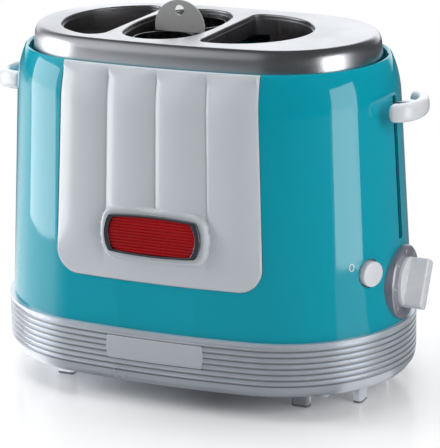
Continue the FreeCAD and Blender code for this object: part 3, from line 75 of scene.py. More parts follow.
def colour(name, description, value):
    return FloatVectorProperty(
        name=name, description=description, subtype="COLOR", size=3, min=0.0, max=1.0, default=value)


def number(name, description, value, **kind):
    return FloatProperty(name=name, description=description, default=value, **kind)


def length(name, description, value):
    return number(name, description, value, unit="LENGTH", subtype="DISTANCE")


class ToasterColours(bpy.types.PropertyGroup):
    """Colours of the finishes and of the floor"""

    shell: colour("Shell", "Turquoise gloss of the body shell", (0.0004, 0.330, 0.430))
    panel: colour("Panel", "Off-white of the fluted panel", (0.55, 0.585, 0.62))
    controls: colour("Controls", "White of the lever, grip, knob and button", (0.68, 0.70, 0.73))
    base: colour("Base", "Silver paint of the base", (0.64, 0.675, 0.73))
    cover: colour("Cover", "Polished steel of the top cover", (0.66, 0.67, 0.70))
    basket: colour("Basket", "Satin steel of the basket", (0.74, 0.75, 0.73))
    liner: colour("Liner", "Plain steel of the well liners", (0.52, 0.51, 0.54))
    trim: colour("Trim", "Dark chrome of the bezel and dial ring", (0.24, 0.24, 0.27))
    lens: colour("Lens", "Red of the ribbed lens", (0.42, 0.0005, 0.004))
    backdrop: colour("Backdrop", "White of the floor", (0.86, 0.86, 0.87))


class ToasterSizes(bpy.types.PropertyGroup):
    """Sizes that the pieces are made from"""

    half_length: length("Half length", "Body outline at the seam, along X", 144.0 * MM)
    half_depth: length("Half depth", "Body outline at the seam, along Y", 89.8 * MM)
    side_radius: length("Side radius", "Radius of the long sides", 605.0 * MM)
    seam_height: length("Seam height", "Where the body meets the base", 53.5 * MM)
    shoulder_height: length("Shoulder height", "Where the wall starts to roll in", 203.0 * MM)
    rim_height: length("Rim height", "Top of the body", 230.0 * MM)
    shoulder_radius: length("Shoulder radius", "Radius of the rolled-in shoulder", 75.0 * MM)
    wall_lean: number("Wall lean", "Inward lean of the wall per height", 0.054)
    panel_bottom: length("Panel bottom", "Lower edge of the fluted panel", 86.5 * MM)
    panel_half_low: length("Panel half width", "Panel's half width at its lower edge", 75.85 * MM)
    panel_half_top: length("Panel top half width", "Panel's half width at the rim", 70.65 * MM)
    panel_corner: length("Panel corner", "Radius of the panel's lower corners", 17.0 * MM)
    panel_edge: length("Panel edge", "Rounding of the panel's outer edge", 1.5 * MM)
    flute_crest: length("Flute crest", "Height of the flutes above the wall", 3.6 * MM)
    flute_valley: length("Flute valley", "Height of the valleys above the wall", -0.1 * MM)
    surround_height: length("Surround height", "Height of the badge's soft surround", 3.4 * MM)
    edge_round: length("Edge rounding", "Rounding of moulded edges", 0.5 * MM)
    sheet_round: length("Sheet rounding", "Rounding of sheet metal edges", 0.15 * MM)
    coil_wire: length("Coil wire", "Wire of the carriage spring", 1.1 * MM)
    coil_turns: IntProperty(name="Coil turns", description="Turns of the carriage spring", default=17)


class StageSizes(bpy.types.PropertyGroup):
    """Camera and floor"""

    azimuth: number("Azimuth", "Camera's turn round the toaster", 0.424, subtype="ANGLE")
    elevation: number("Elevation", "Camera's height angle", 0.283, subtype="ANGLE")
    roll: number("Roll", "Camera's roll", -0.015, subtype="ANGLE")
    distance: length("Distance", "Camera's distance from its target", 1652.66 * MM)
    target: FloatVectorProperty(
        name="Target", description="Point that the camera looks at", subtype="TRANSLATION", size=3,
        default=(18.063 * MM, 0.0, 106.774 * MM))
    lens: number("Lens", "Focal length", 192.42, unit="CAMERA")
    shift_x: number("Shift X", "Camera's sideways shift", -0.0294)
    shift_y: number("Shift Y", "Camera's upward shift", -0.0021)
    floor_fade: length("Floor fade", "Distance where the floor has turned white", 280.0 * MM)


# ---- node trees

def arithmetic(operation, *between):
    """Method that adds a Math node for a value and another value."""
    return lambda value, other: value.math(operation, *between, other)


class Value:
    """Output in a node tree. Arithmetic on it adds Math nodes."""

    def __init__(self, nodes, socket):
        self.nodes = nodes
        self.socket = socket

    def math(self, operation, *others):
        return self.nodes.add("ShaderNodeMath", {"operation": operation}, dict(enumerate((self, *others))))

    def part(self, index):
        """One coordinate of a vector."""
        return self.nodes.add("ShaderNodeSeparateXYZ", Vector=self, output=index)

    __add__ = __radd__ = arithmetic("ADD")
    __mul__ = __rmul__ = arithmetic("MULTIPLY")
    __sub__ = arithmetic("SUBTRACT")
    __rsub__ = arithmetic("MULTIPLY_ADD", -1.0)
    __truediv__ = arithmetic("DIVIDE")
    __pow__ = arithmetic("POWER")


class Nodes:
    """Builder of one node tree."""

    def __init__(self, tree):
        self.tree = tree
        self.tree.nodes.clear()

    def add(self, kind, settings=None, inputs=None, output=0, **named):
        """Adds a node, sets it up, fills its sockets by number or name, and returns one output."""
        node = self.tree.nodes.new(kind)
        for key, value in (settings or {}).items():
            setattr(node, key, value)
        named = {key.replace("_", " "): value for key, value in named.items()}
        for key, value in {**(inputs or {}), **named}.items():
            if isinstance(value, Value):
                self.tree.links.new(value.socket, node.inputs[key])
            else:
                node.inputs[key].default_value = value
        return Value(self, node.outputs[output]) if node.outputs else None

    def rescale(self, value, low, high, start=0.0, end=1.0, curve="LINEAR"):
        """Takes the range from start to end over to the range from low to high."""
        return self.add(
            "ShaderNodeMapRange", {"interpolation_type": curve},
            Value=value, From_Min=start, From_Max=end, To_Min=low, To_Max=high)

    def lobe(self, direction, centre, start, end):
        """One where a direction is near a centre, nought away from it."""
        near = self.add("ShaderNodeVectorMath", {"operation": "DOT_PRODUCT"}, {
            0: direction, 1: tuple(Vector(centre).normalized())}, output=1)
        return self.rescale(near, 0.0, 1.0, start, end, "SMOOTHSTEP")

    def rays(self):
        """One for the camera's rays, and one for those by way of metal, gloss or glass."""
        camera, glossy, clear = (
            self.add("ShaderNodeLightPath", output=key)
            for key in ("Is Camera Ray", "Is Glossy Ray", "Is Transmission Ray"))
        return camera, glossy.math("MAXIMUM", clear)


class Finish(Nodes):
    """Surface of one material: a Principled shader with procedural detail."""

    def __init__(self, name):
        self.material = bpy.data.materials.new(name)
        self.material.use_nodes = True
        super().__init__(self.material.node_tree)
        self.place = self.add("ShaderNodeTexCoord", output="Object")

    def noise(self, scale, detail=3.0, stretch=(1.0, 1.0, 1.0)):
        spot = self.add("ShaderNodeMapping", Vector=self.place, Scale=stretch)
        return self.add("ShaderNodeTexNoise", Vector=spot, Scale=scale, Detail=detail)

    def cells(self, scale):
        return self.add("ShaderNodeTexVoronoi", Vector=self.place, Scale=scale)

    def mix(self, factor, first, second):
        first, second = (end if isinstance(end, Value) else (*end, 1.0) for end in (first, second))
        return self.add(
            "ShaderNodeMix", {"data_type": "RGBA"}, {"Factor": factor, 6: first, 7: second}, output=2)

    def bump(self, height, distance, strength=1.0):
        return self.add("ShaderNodeBump", Height=height, Distance=distance, Strength=strength)

    def close(self, **sockets):
        shader = self.add("ShaderNodeBsdfPrincipled", **sockets)
        self.add("ShaderNodeOutputMaterial", Surface=shader)
        return self.material


class Geometry(Nodes):
    """Geometry Nodes tree with named inputs, run once on an empty mesh."""

    def __init__(self, name, **sizes):
        super().__init__(bpy.data.node_groups.new(name, "GeometryNodeTree"))
        self.name = name
        self.sizes = sizes
        for key, value in sizes.items():
            kind = "NodeSocketInt" if isinstance(value, int) else "NodeSocketFloat"
            self.tree.interface.new_socket(key, in_out="INPUT", socket_type=kind)
        self.tree.interface.new_socket("Geometry", in_out="OUTPUT", socket_type="NodeSocketGeometry")

    def size(self, key):
        return self.add("NodeGroupInput", output=key)

    def vector(self, x=0.0, y=0.0, z=0.0):
        return self.add("ShaderNodeCombineXYZ", X=x, Y=y, Z=z)

    def make(self, geometry, material, smooth=True):
        """Finishes the tree and returns its result as a plain mesh object."""
        shaded = self.add("GeometryNodeSetShadeSmooth", Geometry=geometry, Shade_Smooth=smooth)
        solid = self.add("GeometryNodeRealizeInstances", Geometry=shaded)
        painted = self.add("GeometryNodeSetMaterial", Geometry=solid, Material=material)
        self.add("NodeGroupOutput", Geometry=painted)
        carrier = put(self.name, bpy.data.meshes.new(self.name))
        modifier = carrier.modifiers.new(self.name, "NODES")
        modifier.node_group = self.tree
        for item in self.tree.interface.items_tree:
            if item.in_out == "INPUT":
                modifier[item.identifier] = self.sizes[item.name]
        return settle(carrier)


# ---- meshes

def put(name, data):
    """Object in the scene for a mesh, a lamp or a camera."""
    thing = bpy.data.objects.new(name, data)
    bpy.context.scene.collection.objects.link(thing)
    return thing


def settle(piece):
    """Turns an object's modifiers into its plain mesh."""
    depsgraph = bpy.context.evaluated_depsgraph_get()
    shape = piece.evaluated_get(depsgraph)
    mesh = bpy.data.meshes.new_from_object(shape, preserve_all_data_layers=True, depsgraph=depsgraph)
    piece.modifiers.clear()
    piece.data = mesh
    return piece


def make_piece(name, work, material, angle=180.0):
    """Object made from a bmesh, smooth but where its faces meet at more than an angle."""
    mesh = bpy.data.meshes.new(name)
    work.to_mesh(mesh)
    work.free()
    mesh.materials.append(material)
    mesh.shade_smooth()
    mesh.set_sharp_from_angle(angle=radians(angle))
    return put(name, mesh)


def mesh_piece(name, points, faces, material, angle=40.0):
    """Closed piece from its points and faces, welded and turned the right way out."""
    work = bmesh.new()
    spots = [work.verts.new(point) for point in points]
    for face in faces:
        work.faces.new([spots[index] for index in face])
    bmesh.ops.remove_doubles(work, verts=work.verts, dist=WELD / 2)
    bmesh.ops.recalc_face_normals(work, faces=work.faces)
    return make_piece(name, work, material, angle)


def join_pieces(piece, other):
    """Joins another loose mesh into a piece."""
    work = bmesh.new()
    work.from_mesh(piece.data)
    work.from_mesh(other.data)
    bpy.data.objects.remove(other)
    bmesh.ops.recalc_face_normals(work, faces=work.faces)
    work.to_mesh(piece.data)
    work.free()
    return piece


def modify(piece, kind, **settings):
    modifier = piece.modifiers.new(kind, kind)
    for key, value in settings.items():
        setattr(modifier, key, value)


def even_normals(piece):
    """Lets the large faces of a piece rule its shading."""
    modify(piece, "WEIGHTED_NORMAL", keep_sharp=True)
    return settle(piece)


def quads(start, rows, wide, closed=True, ring=False):
    """Faces over rows of points; closed rows go round, and a ring's last row meets its first."""
    faces = []
    for row in range(rows if ring else rows - 1):
        near, far = start + row * wide, start + (row + 1) % rows * wide
        for step in range(wide if closed else wide - 1):
            after = (step + 1) % wide
            faces.append((near + step, near + after, far + after, far + step))
    return faces


def clamp(value):
    return min(max(value, 0.0), 1.0)


def smooth_step(value):
    share = clamp(value)
    return share * share * (3 - 2 * share)


def quarter_turn(steps):
    """Angles of a quarter turn in even steps."""
    return [pi / 2 * step / steps for step in range(steps + 1)]


def oval():
    """Body's outline at the seam: side and end radius, their centres' y and x, and where they meet."""
    size = bpy.context.scene.toaster_sizes
    a, b, radius = size.half_length, size.half_depth, size.side_radius
    end_radius = (2 * radius * b - b * b - a * a) / (2 * (radius - a))
    end_x, side_y = a - end_radius, b - radius
    return radius, end_radius, side_y, end_x, atan2(-side_y, end_x)


def oval_normal(x, y):
    """Horizontal outward normal of the body's parallel outlines at a point."""
    _, _, side_y, end_x, knee = oval()
    if abs(x) > end_x and atan2(abs(y), abs(x) - end_x) < knee:
        return Vector((copysign(abs(x) - end_x, x), y, 0)).normalized()
    return Vector((x, y - copysign(side_y, y), 0)).normalized()


def wall_inset(z):
    """How far the body's wall has come in at height z."""
    size = bpy.context.scene.toaster_sizes
    if z <= size.shoulder_height:
        return size.wall_lean * (z - size.seam_height)
    lean = atan(size.wall_lean)
    rise = min(1.0, sin(lean) + (z - size.shoulder_height) / size.shoulder_radius)
    roll = size.shoulder_radius * (cos(lean) - sqrt(1 - rise * rise))
    return size.wall_lean * (size.shoulder_height - size.seam_height) + roll


def wall_point(x, z, proud=0.0):
    """Point of the body's front wall, at x and height z, standing proud of it."""
    side_radius, _, side_y, _, _ = oval()
    radius = side_radius - (wall_inset(z) - proud)
    return Vector((x, -(side_y + sqrt(radius * radius - x * x)), z))


def end_point(angle, z, proud=0.0):
    """Point of the body's round right end, at an angle from +X and height z."""
    _, end_radius, _, end_x, _ = oval()
    reach = end_radius - wall_inset(z) + proud
    return Vector((end_x + reach * cos(angle), reach * sin(angle), z))


def follow_outline(mesh, tolerance=6.5):
    """Points the normals of surfaces that follow the oval outline exactly across it."""
    limit, upright = cos(radians(tolerance)), 0.05
    normals = [Vector(corner.vector) for corner in mesh.corner_normals]
    found, rises = [], {}
    for face in mesh.polygons:
        flat = Vector((face.normal.x, face.normal.y, 0))
        if flat.length < upright:
            continue
        flat.normalize()
        for corner in face.loop_indices:
            spot = mesh.vertices[mesh.loops[corner].vertex_index].co
            across = oval_normal(spot.x, spot.y)
            side = flat.dot(across)
            if abs(side) < limit:
                continue
            band = (round(spot.z / MM, 1), round(face.normal.z, 1), side > 0)
            found.append((corner, across, side, band))
            rises.setdefault(band, []).append(normals[corner].z)
    middle = {band: sorted(values)[len(values) // 2] for band, values in rises.items()}
    for corner, across, side, band in found:
        rise = middle[band]
        level = copysign(sqrt(max(0.0, 1 - rise * rise)), side)
        normals[corner] = Vector((across.x * level, across.y * level, rise))
    mesh.normals_split_custom_set(normals)


def welded(node):
    """Copy of a CAD node with its loose triangles joined."""
    work = bmesh.new()
    work.from_mesh(NODES[node].data)
    bmesh.ops.remove_doubles(work, verts=work.verts, dist=WELD)
    return work


def dress(node, material, rounding=0.0, segments=2, angle=32.0, outline=False):
    """Copies a CAD node, welds and rounds it, and gives the copy a finish in its place."""
    work = welded(node)
    bmesh.ops.dissolve_limit(work, angle_limit=FACET, verts=work.verts, edges=work.edges, delimit=set())
    for face in work.faces:
        face.material_index = 0
    piece = make_piece(node + "_skin", work, material, angle)
    if rounding:
        modify(
            piece, "BEVEL", width=rounding, segments=segments, limit_method="ANGLE",
            angle_limit=radians(angle), harden_normals=True)
    even_normals(piece)
    if outline:
        follow_outline(piece.data)
    seat(piece, node)


def seat(piece, *nodes):
    """Lets a piece stand for its CAD nodes and ride on their body."""
    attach(piece, BODIES[nodes[0]])
    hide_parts(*nodes)
    return piece


# ---- finishes

def toned(tint, factor):
    """Colour made darker or paler."""
    return tuple(min(1.0, part * factor) for part in tint)


def gloss(name, tint, roughness, shift=0.04, coat=0.5):
    """Moulded gloss plastic or lacquer with a faint ripple and handling marks."""
    finish = Finish(name)
    return finish.close(
        Base_Color=finish.mix(finish.noise(9.0, 2.0), tint, toned(tint, 1 - 2 * shift)),
        Roughness=finish.rescale(finish.noise(30.0), roughness * 0.9, roughness * 1.12, 0.3, 0.7),
        Normal=finish.bump(finish.noise(420.0, 1.0), 0.012 * MM, 0.5),
        Coat_Weight=coat, Coat_Roughness=0.04, IOR=1.5)


def silver_paint(name, tint, groove_shade_rows=None):
    """Metallic paint with fine flakes, and painted shade that darkens it along each level groove."""
    finish = Finish(name)
    flake, cloud = finish.cells(2600.0), finish.noise(12.0)
    spark = finish.rescale(flake, 0.0, 1.0, 0.1, 0.8)
    paint = finish.mix(spark * 0.6 + cloud * 0.3, tint, toned(tint, 1.2))
    if groove_shade_rows:
        # Painted shade: the colour turns dark along each groove between the ribs, where shade falls, and
        # fades out above and below the ribbed band.
        top, pitch, count = groove_shade_rows
        steps = (finish.place.part(2) * -1.0 + top) / pitch
        depth = finish.rescale(steps.math("PINGPONG", 0.5), 1.0, 0.0, 0.03, 0.27)
        below = finish.rescale(steps, 0.0, 1.0, -0.3, -0.2)
        above = finish.rescale(steps, 1.0, 0.0, count + 0.2, count + 0.3)
        paint = finish.mix(depth * (below * above) * 0.8, paint, toned(tint, 0.16))
    return finish.close(
        Base_Color=paint, Metallic=0.58,
        Roughness=finish.rescale(cloud, 0.26, 0.33, 0.3, 0.7),
        Normal=finish.bump(flake, 0.01 * MM, 0.4))


def sheet_metal(name, tint, roughness, stretch=(1.0, 24.0, 24.0), depth=0.006, wear=0.12):
    """Rolled sheet with fine drawn lines and a little staining."""
    finish = Finish(name)
    lines, stain = finish.noise(160.0, 3.0, stretch), finish.noise(18.0, 4.0)
    return finish.close(
        Base_Color=finish.mix(finish.rescale(stain, 0.0, 1.0, 0.35, 0.75), tint, toned(tint, 1 - wear)),
        Metallic=1.0,
        Roughness=finish.rescale(lines, roughness * 0.75, roughness * 1.3, 0.3, 0.7),
        Normal=finish.bump(lines, depth * MM, 0.6))


def satin_steel(name, tint):
    """Bead-blasted steel with a very fine even grain."""
    finish = Finish(name)
    grain = finish.noise(2400.0, 2.0, (1.0, 1.0, 0.35))
    return finish.close(
        Base_Color=finish.mix(finish.noise(14.0), tint, toned(tint, 0.9)),
        Metallic=0.55,
        Roughness=finish.rescale(grain, 0.30, 0.42, 0.3, 0.7),
        Normal=finish.bump(grain, 0.008 * MM, 0.5))


def red_lens(name, tint):
    """Clear red moulding over a bright back, darker in soft random streaks that run lengthwise."""
    finish = Finish(name)
    depth = finish.noise(60.0, 2.0, (0.3, 1.0, 1.0))
    return finish.close(
        Base_Color=finish.mix(depth, tint, toned(tint, 0.6)),
        Roughness=finish.rescale(depth, 0.26, 0.36),
        Normal=finish.bump(finish.noise(300.0, 1.0), 0.01 * MM, 0.4),
        Specular_IOR_Level=0.3)


def plain_plastic(name, tint, roughness, gleam=0.5):
    """Matt moulding with a fine spark-eroded grain."""
    finish = Finish(name)
    pits = finish.noise(900.0, 2.0)
    return finish.close(
        Base_Color=finish.mix(finish.noise(30.0), tint, toned(tint, 1.5)),
        Roughness=finish.rescale(pits, roughness * 0.85, roughness * 1.15),
        Normal=finish.bump(pits, 0.03 * MM, 0.6), Specular_IOR_Level=gleam)


def mica_sheet(name):
    """Layered mica with flakes and brown veins."""
    finish = Finish(name)
    flakes, veins = finish.cells(220.0), finish.noise(40.0, 6.0, (1.0, 1.0, 2.0))
    return finish.close(
        Base_Color=finish.mix(veins, (0.62, 0.55, 0.42), (0.40, 0.32, 0.20)),
        Roughness=finish.rescale(flakes, 0.35, 0.6),
        Normal=finish.bump(flakes, 0.05 * MM, 0.5))


def circuit_board(name):
    """Green lacquer over a grid of copper tracks."""
    finish = Finish(name)
    track = (finish.place.part(2) * 400.0).math("PINGPONG", 1.0).math("GREATER_THAN", 0.72)
    line = track * finish.rescale(finish.noise(90.0, 1.0), 0.0, 1.0, 0.5, 0.56)
    return finish.close(
        Base_Color=finish.mix(line, (0.01, 0.10, 0.04), (0.03, 0.22, 0.09)),
        Roughness=0.35, Normal=finish.bump(line, 0.03 * MM))


def copper_winding(name):
    """Lacquered wire wound in close turns, with painted shade: each turn is dark where it meets the next and
    copper along its middle.
    """
    finish = Finish(name)
    # Painted shade between the turns: the colour runs from dark brown at each turn's edges to copper along
    # its middle.
    turns = (finish.place.part(2) * 3200.0).math("PINGPONG", 1.0)
    return finish.close(
        Base_Color=finish.mix(turns, (0.20, 0.06, 0.02), (0.55, 0.22, 0.08)),
        Metallic=0.9, Roughness=0.3, Normal=finish.bump(turns, 0.1 * MM))


# ---- pieces

def settings(context):
    """The toaster's colours and sizes."""
    return context.scene.toaster_colours, context.scene.toaster_sizes


class TOASTER_OT_body(bpy.types.Operator):
    """Turquoise shell, near-black lips that paint the shade inside its slot, and the ring beside its button
    """

    bl_idname = "toaster.body"
    bl_label = "Body"

    def execute(self, context):
        tints, sizes = settings(context)
        turquoise = gloss("turquoise gloss", tints.shell, 0.05, coat=0.35)
        dress("body_shell", turquoise, sizes.edge_round, outline=True)
        self.off_mark(gloss("mark ink", tints.controls, 0.3))
        # Painted shade: near-black lips stand where the slot would show only shade.
        self.slot_shade_lips(plain_plastic("slot lip", (0.001, 0.006, 0.012), 0.6, gleam=0.1))
        return {"FINISHED"}

    def slot_shade_lips(self, material, low=109.5 * MM, high=206.5 * MM, gap=1.55 * MM, width=0.95 * MM):
        """Near-black lips down both sides of the lever's slot, painted shade that hides the lit inside of the
        slot.
        """
        sunk, proud, steps = -0.9 * MM, 0.1 * MM, 24
        points, faces = [], []
        for side in (-1, 1):
            start = len(points)
            for step in range(steps + 1):
                z = low + (high - low) * step / steps
                for across, out in ((gap, sunk), (gap, proud), (gap + width, proud), (gap + width, sunk)):
                    points.append((end_point(0.0, z, out).x, side * across, z))
            last = start + 4 * steps
            faces += quads(start, steps + 1, 4)
            faces += [tuple(range(start, start + 4)), tuple(range(last, last + 4))]
        piece = mesh_piece("slot_shade_lips", points, faces, material)
        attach(piece, "housing")

    def off_mark(self, material, angle=-0.632, height=101.0 * MM, stroke=0.62 * MM, steps=48):
        """Printed nought beside the cancel button."""
        half_wide, half_tall, sunk, proud = 2.0 * MM, 2.8 * MM, -0.05 * MM, 0.07 * MM
        narrow = end_point(angle, height).xy.length * 0.62
        points = []
        for step in range(steps):
            turn = 2 * pi * step / steps
            for inset, out in ((0.0, sunk), (0.0, proud), (stroke, proud), (stroke, sunk)):
                across, up = (half_wide - inset) * cos(turn), (half_tall - inset) * sin(turn)
                points.append(end_point(angle + across / narrow, height + up, out))
        piece = mesh_piece("off_mark", points, quads(0, steps, 4, ring=True), material)
        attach(piece, "housing")


class TOASTER_OT_panel(bpy.types.Operator):
    """Fluted off-white panel with the badge and its soft surround"""

    bl_idname = "toaster.panel"
    bl_label = "Panel"

    def execute(self, context):
        tints, sizes = settings(context)
        self.flutes(gloss("panel gloss", tints.panel, 0.22, shift=0.012, coat=0.25), sizes)
        chrome = sheet_metal("dark chrome", tints.trim, 0.12, stretch=(1.0, 1.0, 1.0))
        dress("badge_bezel", chrome, 0.35 * MM, segments=3)
        dress("badge_lens", red_lens("red lens", tints.lens), sizes.sheet_round)
        return {"FINISHED"}

    def half_width(self, sizes, z):
        share = (z - sizes.panel_bottom) / (sizes.rim_height - sizes.panel_bottom)
        return sizes.panel_half_low + share * (sizes.panel_half_top - sizes.panel_half_low)

    def edge_width(self, sizes, z):
        """Half width of the panel's outline, rounded at its lower corners."""
        corner = sizes.panel_corner
        over = max(0.0, corner - (z - sizes.panel_bottom))
        return self.half_width(sizes, z) - (corner - sqrt(max(0.0, corner * corner - over * over)))

    def inside(self, beside, above, corner):
        """Depth inside a rounded corner, from the distances to its two sides."""
        if beside < corner and above < corner:
            return corner - hypot(corner - beside, corner - above)
        return min(beside, above)

    def surround(self, sizes, x, z, middle=120.0 * MM, corner=7.0 * MM, slope=2.6 * MM):
        """How far up the slope of the badge's surround a point is, and the height of its flat top."""
        half_x, half_z, bulge_x, bulge_z = 36.1 * MM, 17.0 * MM, 3.5 * MM, 1.5 * MM
        up = z - middle
        beside = half_x + bulge_x * (1 - (up / half_z) ** 2) - abs(x)
        above = half_z + bulge_z * (1 - (x / half_x) ** 2) - abs(up)
        plane = sizes.surround_height + (x * x) / (2 * sizes.side_radius)
        return clamp(self.inside(beside, above, corner) / slope), plane

    def height(self, sizes, x, z):
        """Height of the panel's face above the body's wall."""
        foot, foot_fade, rim_fade, plain = 89.0 * MM, 34.0 * MM, 9.0 * MM, 1.1 * MM
        pitch = self.half_width(sizes, z) / 2
        across = abs((x / pitch) % 1.0 * 2 - 1)
        pillow = (1 - across ** 2.0) ** 0.8
        low = smooth_step((z - foot) / foot_fade)
        high = smooth_step((sizes.rim_height - z) / rim_fade)
        flat = plain + (sizes.flute_crest - plain) * low
        face = flat - (flat - sizes.flute_valley) * (low * (0.12 + 0.88 * high)) * (1 - pillow)
        raised, plane = self.surround(sizes, x, z)
        return face + (max(plane, face) - face) * sqrt(1 - (1 - raised) ** 2)

    def flutes(self, material, sizes, sink=-0.45 * MM, thin=0.15 * MM, coarse=12):
        """Closed slab: a fine front grid, rounded at its edge, over a coarse back."""
        top, bottom, edge = sizes.rim_height, sizes.panel_bottom, sizes.panel_edge
        lead = [0.0, 0.04, 0.12, 0.24, 0.4, 0.6, 0.85, 1.15, 1.5, 1.9]
        levels = [bottom + step * MM for step in lead]
        while levels[-1] < top - 0.5 * MM:
            beside_badge = 99 * MM < levels[-1] < 140 * MM
            levels.append(levels[-1] + (0.55 if beside_badge else 1.1) * MM)
        levels[-1] = top
        shares = [step / 76 for step in range(74)] + [1 - step / 75.6 for step in reversed(lead)]
        columns = [-share for share in reversed(shares[1:])] + shares
        points = []
        for z in levels:
            limit = self.edge_width(sizes, z)
            for x in (column * limit for column in columns):
                beside = self.half_width(sizes, z) - abs(x)
                depth = clamp(self.inside(beside, z - bottom, sizes.panel_corner) / edge)
                rise = self.height(sizes, x, z)
                points.append(wall_point(x, z, sink + (rise - sink) * sqrt(1 - (1 - depth) ** 2)))
        rows, wide, behind, back = len(levels), len(columns), coarse + 1, len(points)
        for z in levels:
            limit = self.edge_width(sizes, z)
            points += [wall_point((2 * step / coarse - 1) * limit, z, sink - thin) for step in range(behind)]
        faces = quads(0, rows, wide, closed=False) + quads(back, rows, behind, closed=False)
        for row in range(rows - 1):
            left, back_left = row * wide, back + row * behind
            right, back_right = left + wide - 1, back_left + coarse
            faces.append((left, left + wide, back_left + behind, back_left))
            faces.append((right + wide, right, back_right, back_right + behind))
        last, last_back = (rows - 1) * wide, back + (rows - 1) * behind
        faces.append((*range(wide - 1, -1, -1), *range(back, back + behind)))
        faces.append((*range(last, last + wide), *range(last_back + coarse, last_back - 1, -1)))
        seat(mesh_piece("fluted_panel", points, faces, material, angle=60.0), "front_panel")


class TOASTER_OT_base(bpy.types.Operator):
    """Ribbed silver base with its feet, name plate, cord gland and screws"""

    bl_idname = "toaster.base"
    bl_label = "Base"

    def execute(self, context):
        tints, sizes = settings(context)
        silver = silver_paint("silver paint", tints.base)
        # Where the ribbed base gets painted shade: top groove, pitch and groove count.
        groove_shade_rows = (sizes.seam_height - 5.05 * MM, 4.0 * MM, 6)
        ribbed = silver_paint("ribbed silver", tints.base, groove_shade_rows)
        dress("base_housing", ribbed, sizes.sheet_round, angle=34.0, outline=True)
        dress("foot_posts", silver, sizes.sheet_round)
        dress("name_plate", silver_paint("plate silver", (0.74, 0.77, 0.82)), 0.4 * MM, segments=3)
        dress("foot_pads", plain_plastic("foot rubber", (0.16, 0.165, 0.17), 0.6), sizes.sheet_round)
        dress("cord_gland", plain_plastic("black moulding", (0.015, 0.015, 0.017), 0.5), sizes.edge_round)
        dress("base_screws", sheet_metal("screw steel", (0.5, 0.5, 0.52), 0.3), sizes.sheet_round)
        return {"FINISHED"}


def flat_loops(node):
    """Outlines of a node's top face, each a list of (x, y), the outermost first, and its height."""
    work = welded(node)
    level = max(vert.co.z for vert in work.verts)
    flat = {face for face in work.faces if min(vert.co.z for vert in face.verts) > level - 0.01 * MM}
    beside = {}
    for edge in work.edges:
        if sum(face in flat for face in edge.link_faces) == 1:
            first, second = edge.verts
            beside.setdefault(first, []).append(second)
            beside.setdefault(second, []).append(first)
    loops = []
    while beside:
        start = min(beside, key=lambda vert: vert.index)
        loop, spot = [], start
        while spot in beside:
            loop.append((spot.co.x, spot.co.y))
            follow = [vert for vert in beside.pop(spot) if vert in beside]
            if not follow:
                break
            spot = follow[0]
        area = sum(x0 * y1 - x1 * y0 for (x0, y0), (x1, y1) in zip(loop, loop[1:] + loop[:1]))
        loops.append(loop if area > 0 else loop[::-1])
    work.free()
    return sorted(loops, key=min), level


def outline_points(inset, steps=72, split=0.62):
    """Points of the body's oval outline, inset, with their outward directions."""
    radius, end_radius, side_y, end_x, knee = oval()
    points = []
    for flip_x, flip_y in ((1, 1), (-1, 1), (-1, -1), (1, -1)):
        for step in range(steps):
            share = step / steps if flip_x == flip_y else 1 - step / steps
            if share <= split:
                angle = knee * share / split
                spot = (end_x + (end_radius - inset) * cos(angle), (end_radius - inset) * sin(angle))
            else:
                angle = knee + (pi / 2 - knee) * (share - split) / (1 - split)
                spot = ((radius - inset) * cos(angle), side_y + (radius - inset) * sin(angle))
            points.append(((spot[0] * flip_x, spot[1] * flip_y), (cos(angle) * flip_x, sin(angle) * flip_y)))
    return points


def loop_points(loop):
    """Points of a closed anticlockwise outline with their outward directions."""
    points = []
    for before, spot, after in zip(loop[-1:] + loop[:-1], loop, loop[1:] + loop[:1]):
        way = Vector((after[1] - before[1], before[0] - after[0]))
        points.append((spot, tuple(way.normalized())))
    return points


class TOASTER_OT_cover(bpy.types.Operator):
    """Polished top cover with its rolled edge, skirt and three openings"""

    bl_idname = "toaster.cover"
    bl_label = "Cover"

    def execute(self, context):
        tints, sizes = settings(context)
        loops, level = flat_loops("top_cover")
        sheet, drop, flare = 1.2 * MM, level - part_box("top_cover")[0].z, 7.2 * MM
        roll_out, roll_down = 5.0 * MM, 8.0 * MM
        outer = [(roll_out * sin(turn), -roll_down * (1 - cos(turn))) for turn in quarter_turn(10)]
        for step in range(1, 9):
            share = step / 8
            outset = roll_out + (flare - roll_out) * share ** 1.3
            outer.append((outset, -roll_down - (drop - roll_down) * share))
        outer += [
            (flare - sheet, -drop), (roll_out - sheet, -roll_down),
            (0.62 * (roll_out - sheet), -0.42 * roll_down), (0.0, -sheet)]
        curl, lip = 1.1 * MM, 2.8 * MM
        inner = [(curl * (1 - sin(turn)), -curl * (1 - cos(turn))) for turn in quarter_turn(6)]
        inner += [(0.0, -lip), (sheet, -lip), (sheet, -sheet)]
        inset = sizes.half_length - max(loops[0])[0]
        work = bmesh.new()
        rims = [self.band(work, outline_points(inset), outer, level)]
        rims += [self.band(work, loop_points(loop), inner, level) for loop in loops[1:]]
        for side, up in ((0, 1), (1, -1)):
            edges = [edge for rim in rims for edge in rim[side]]
            bmesh.ops.triangle_fill(work, use_beauty=True, edges=edges, normal=(0, 0, up))
        bmesh.ops.recalc_face_normals(work, faces=work.faces)
        steel = sheet_metal(
            "polished steel", tints.cover, 0.30, stretch=(0.1, 0.1, 0.1), depth=0.001, wear=0.05)
        seat(even_normals(make_piece("cover_sheet", work, steel, angle=40.0)), "top_cover")
        return {"FINISHED"}

    def band(self, work, points, profile, level):
        """Ring of quads along an outline; returns its first and its last row of edges."""
        rows = []
        for outset, rise in profile:
            rows.append([
                work.verts.new((spot[0] + way[0] * outset, spot[1] + way[1] * outset, level + rise))
                for spot, way in points])
        verts = [vert for row in rows for vert in row]
        for near, after, over, above in quads(0, len(rows), len(points)):
            work.faces.new((verts[near], verts[after], verts[over], verts[above]))
        return [
            [work.edges.get((near, far)) for near, far in zip(row, row[1:] + row[:1])]
            for row in (rows[0], rows[-1])]


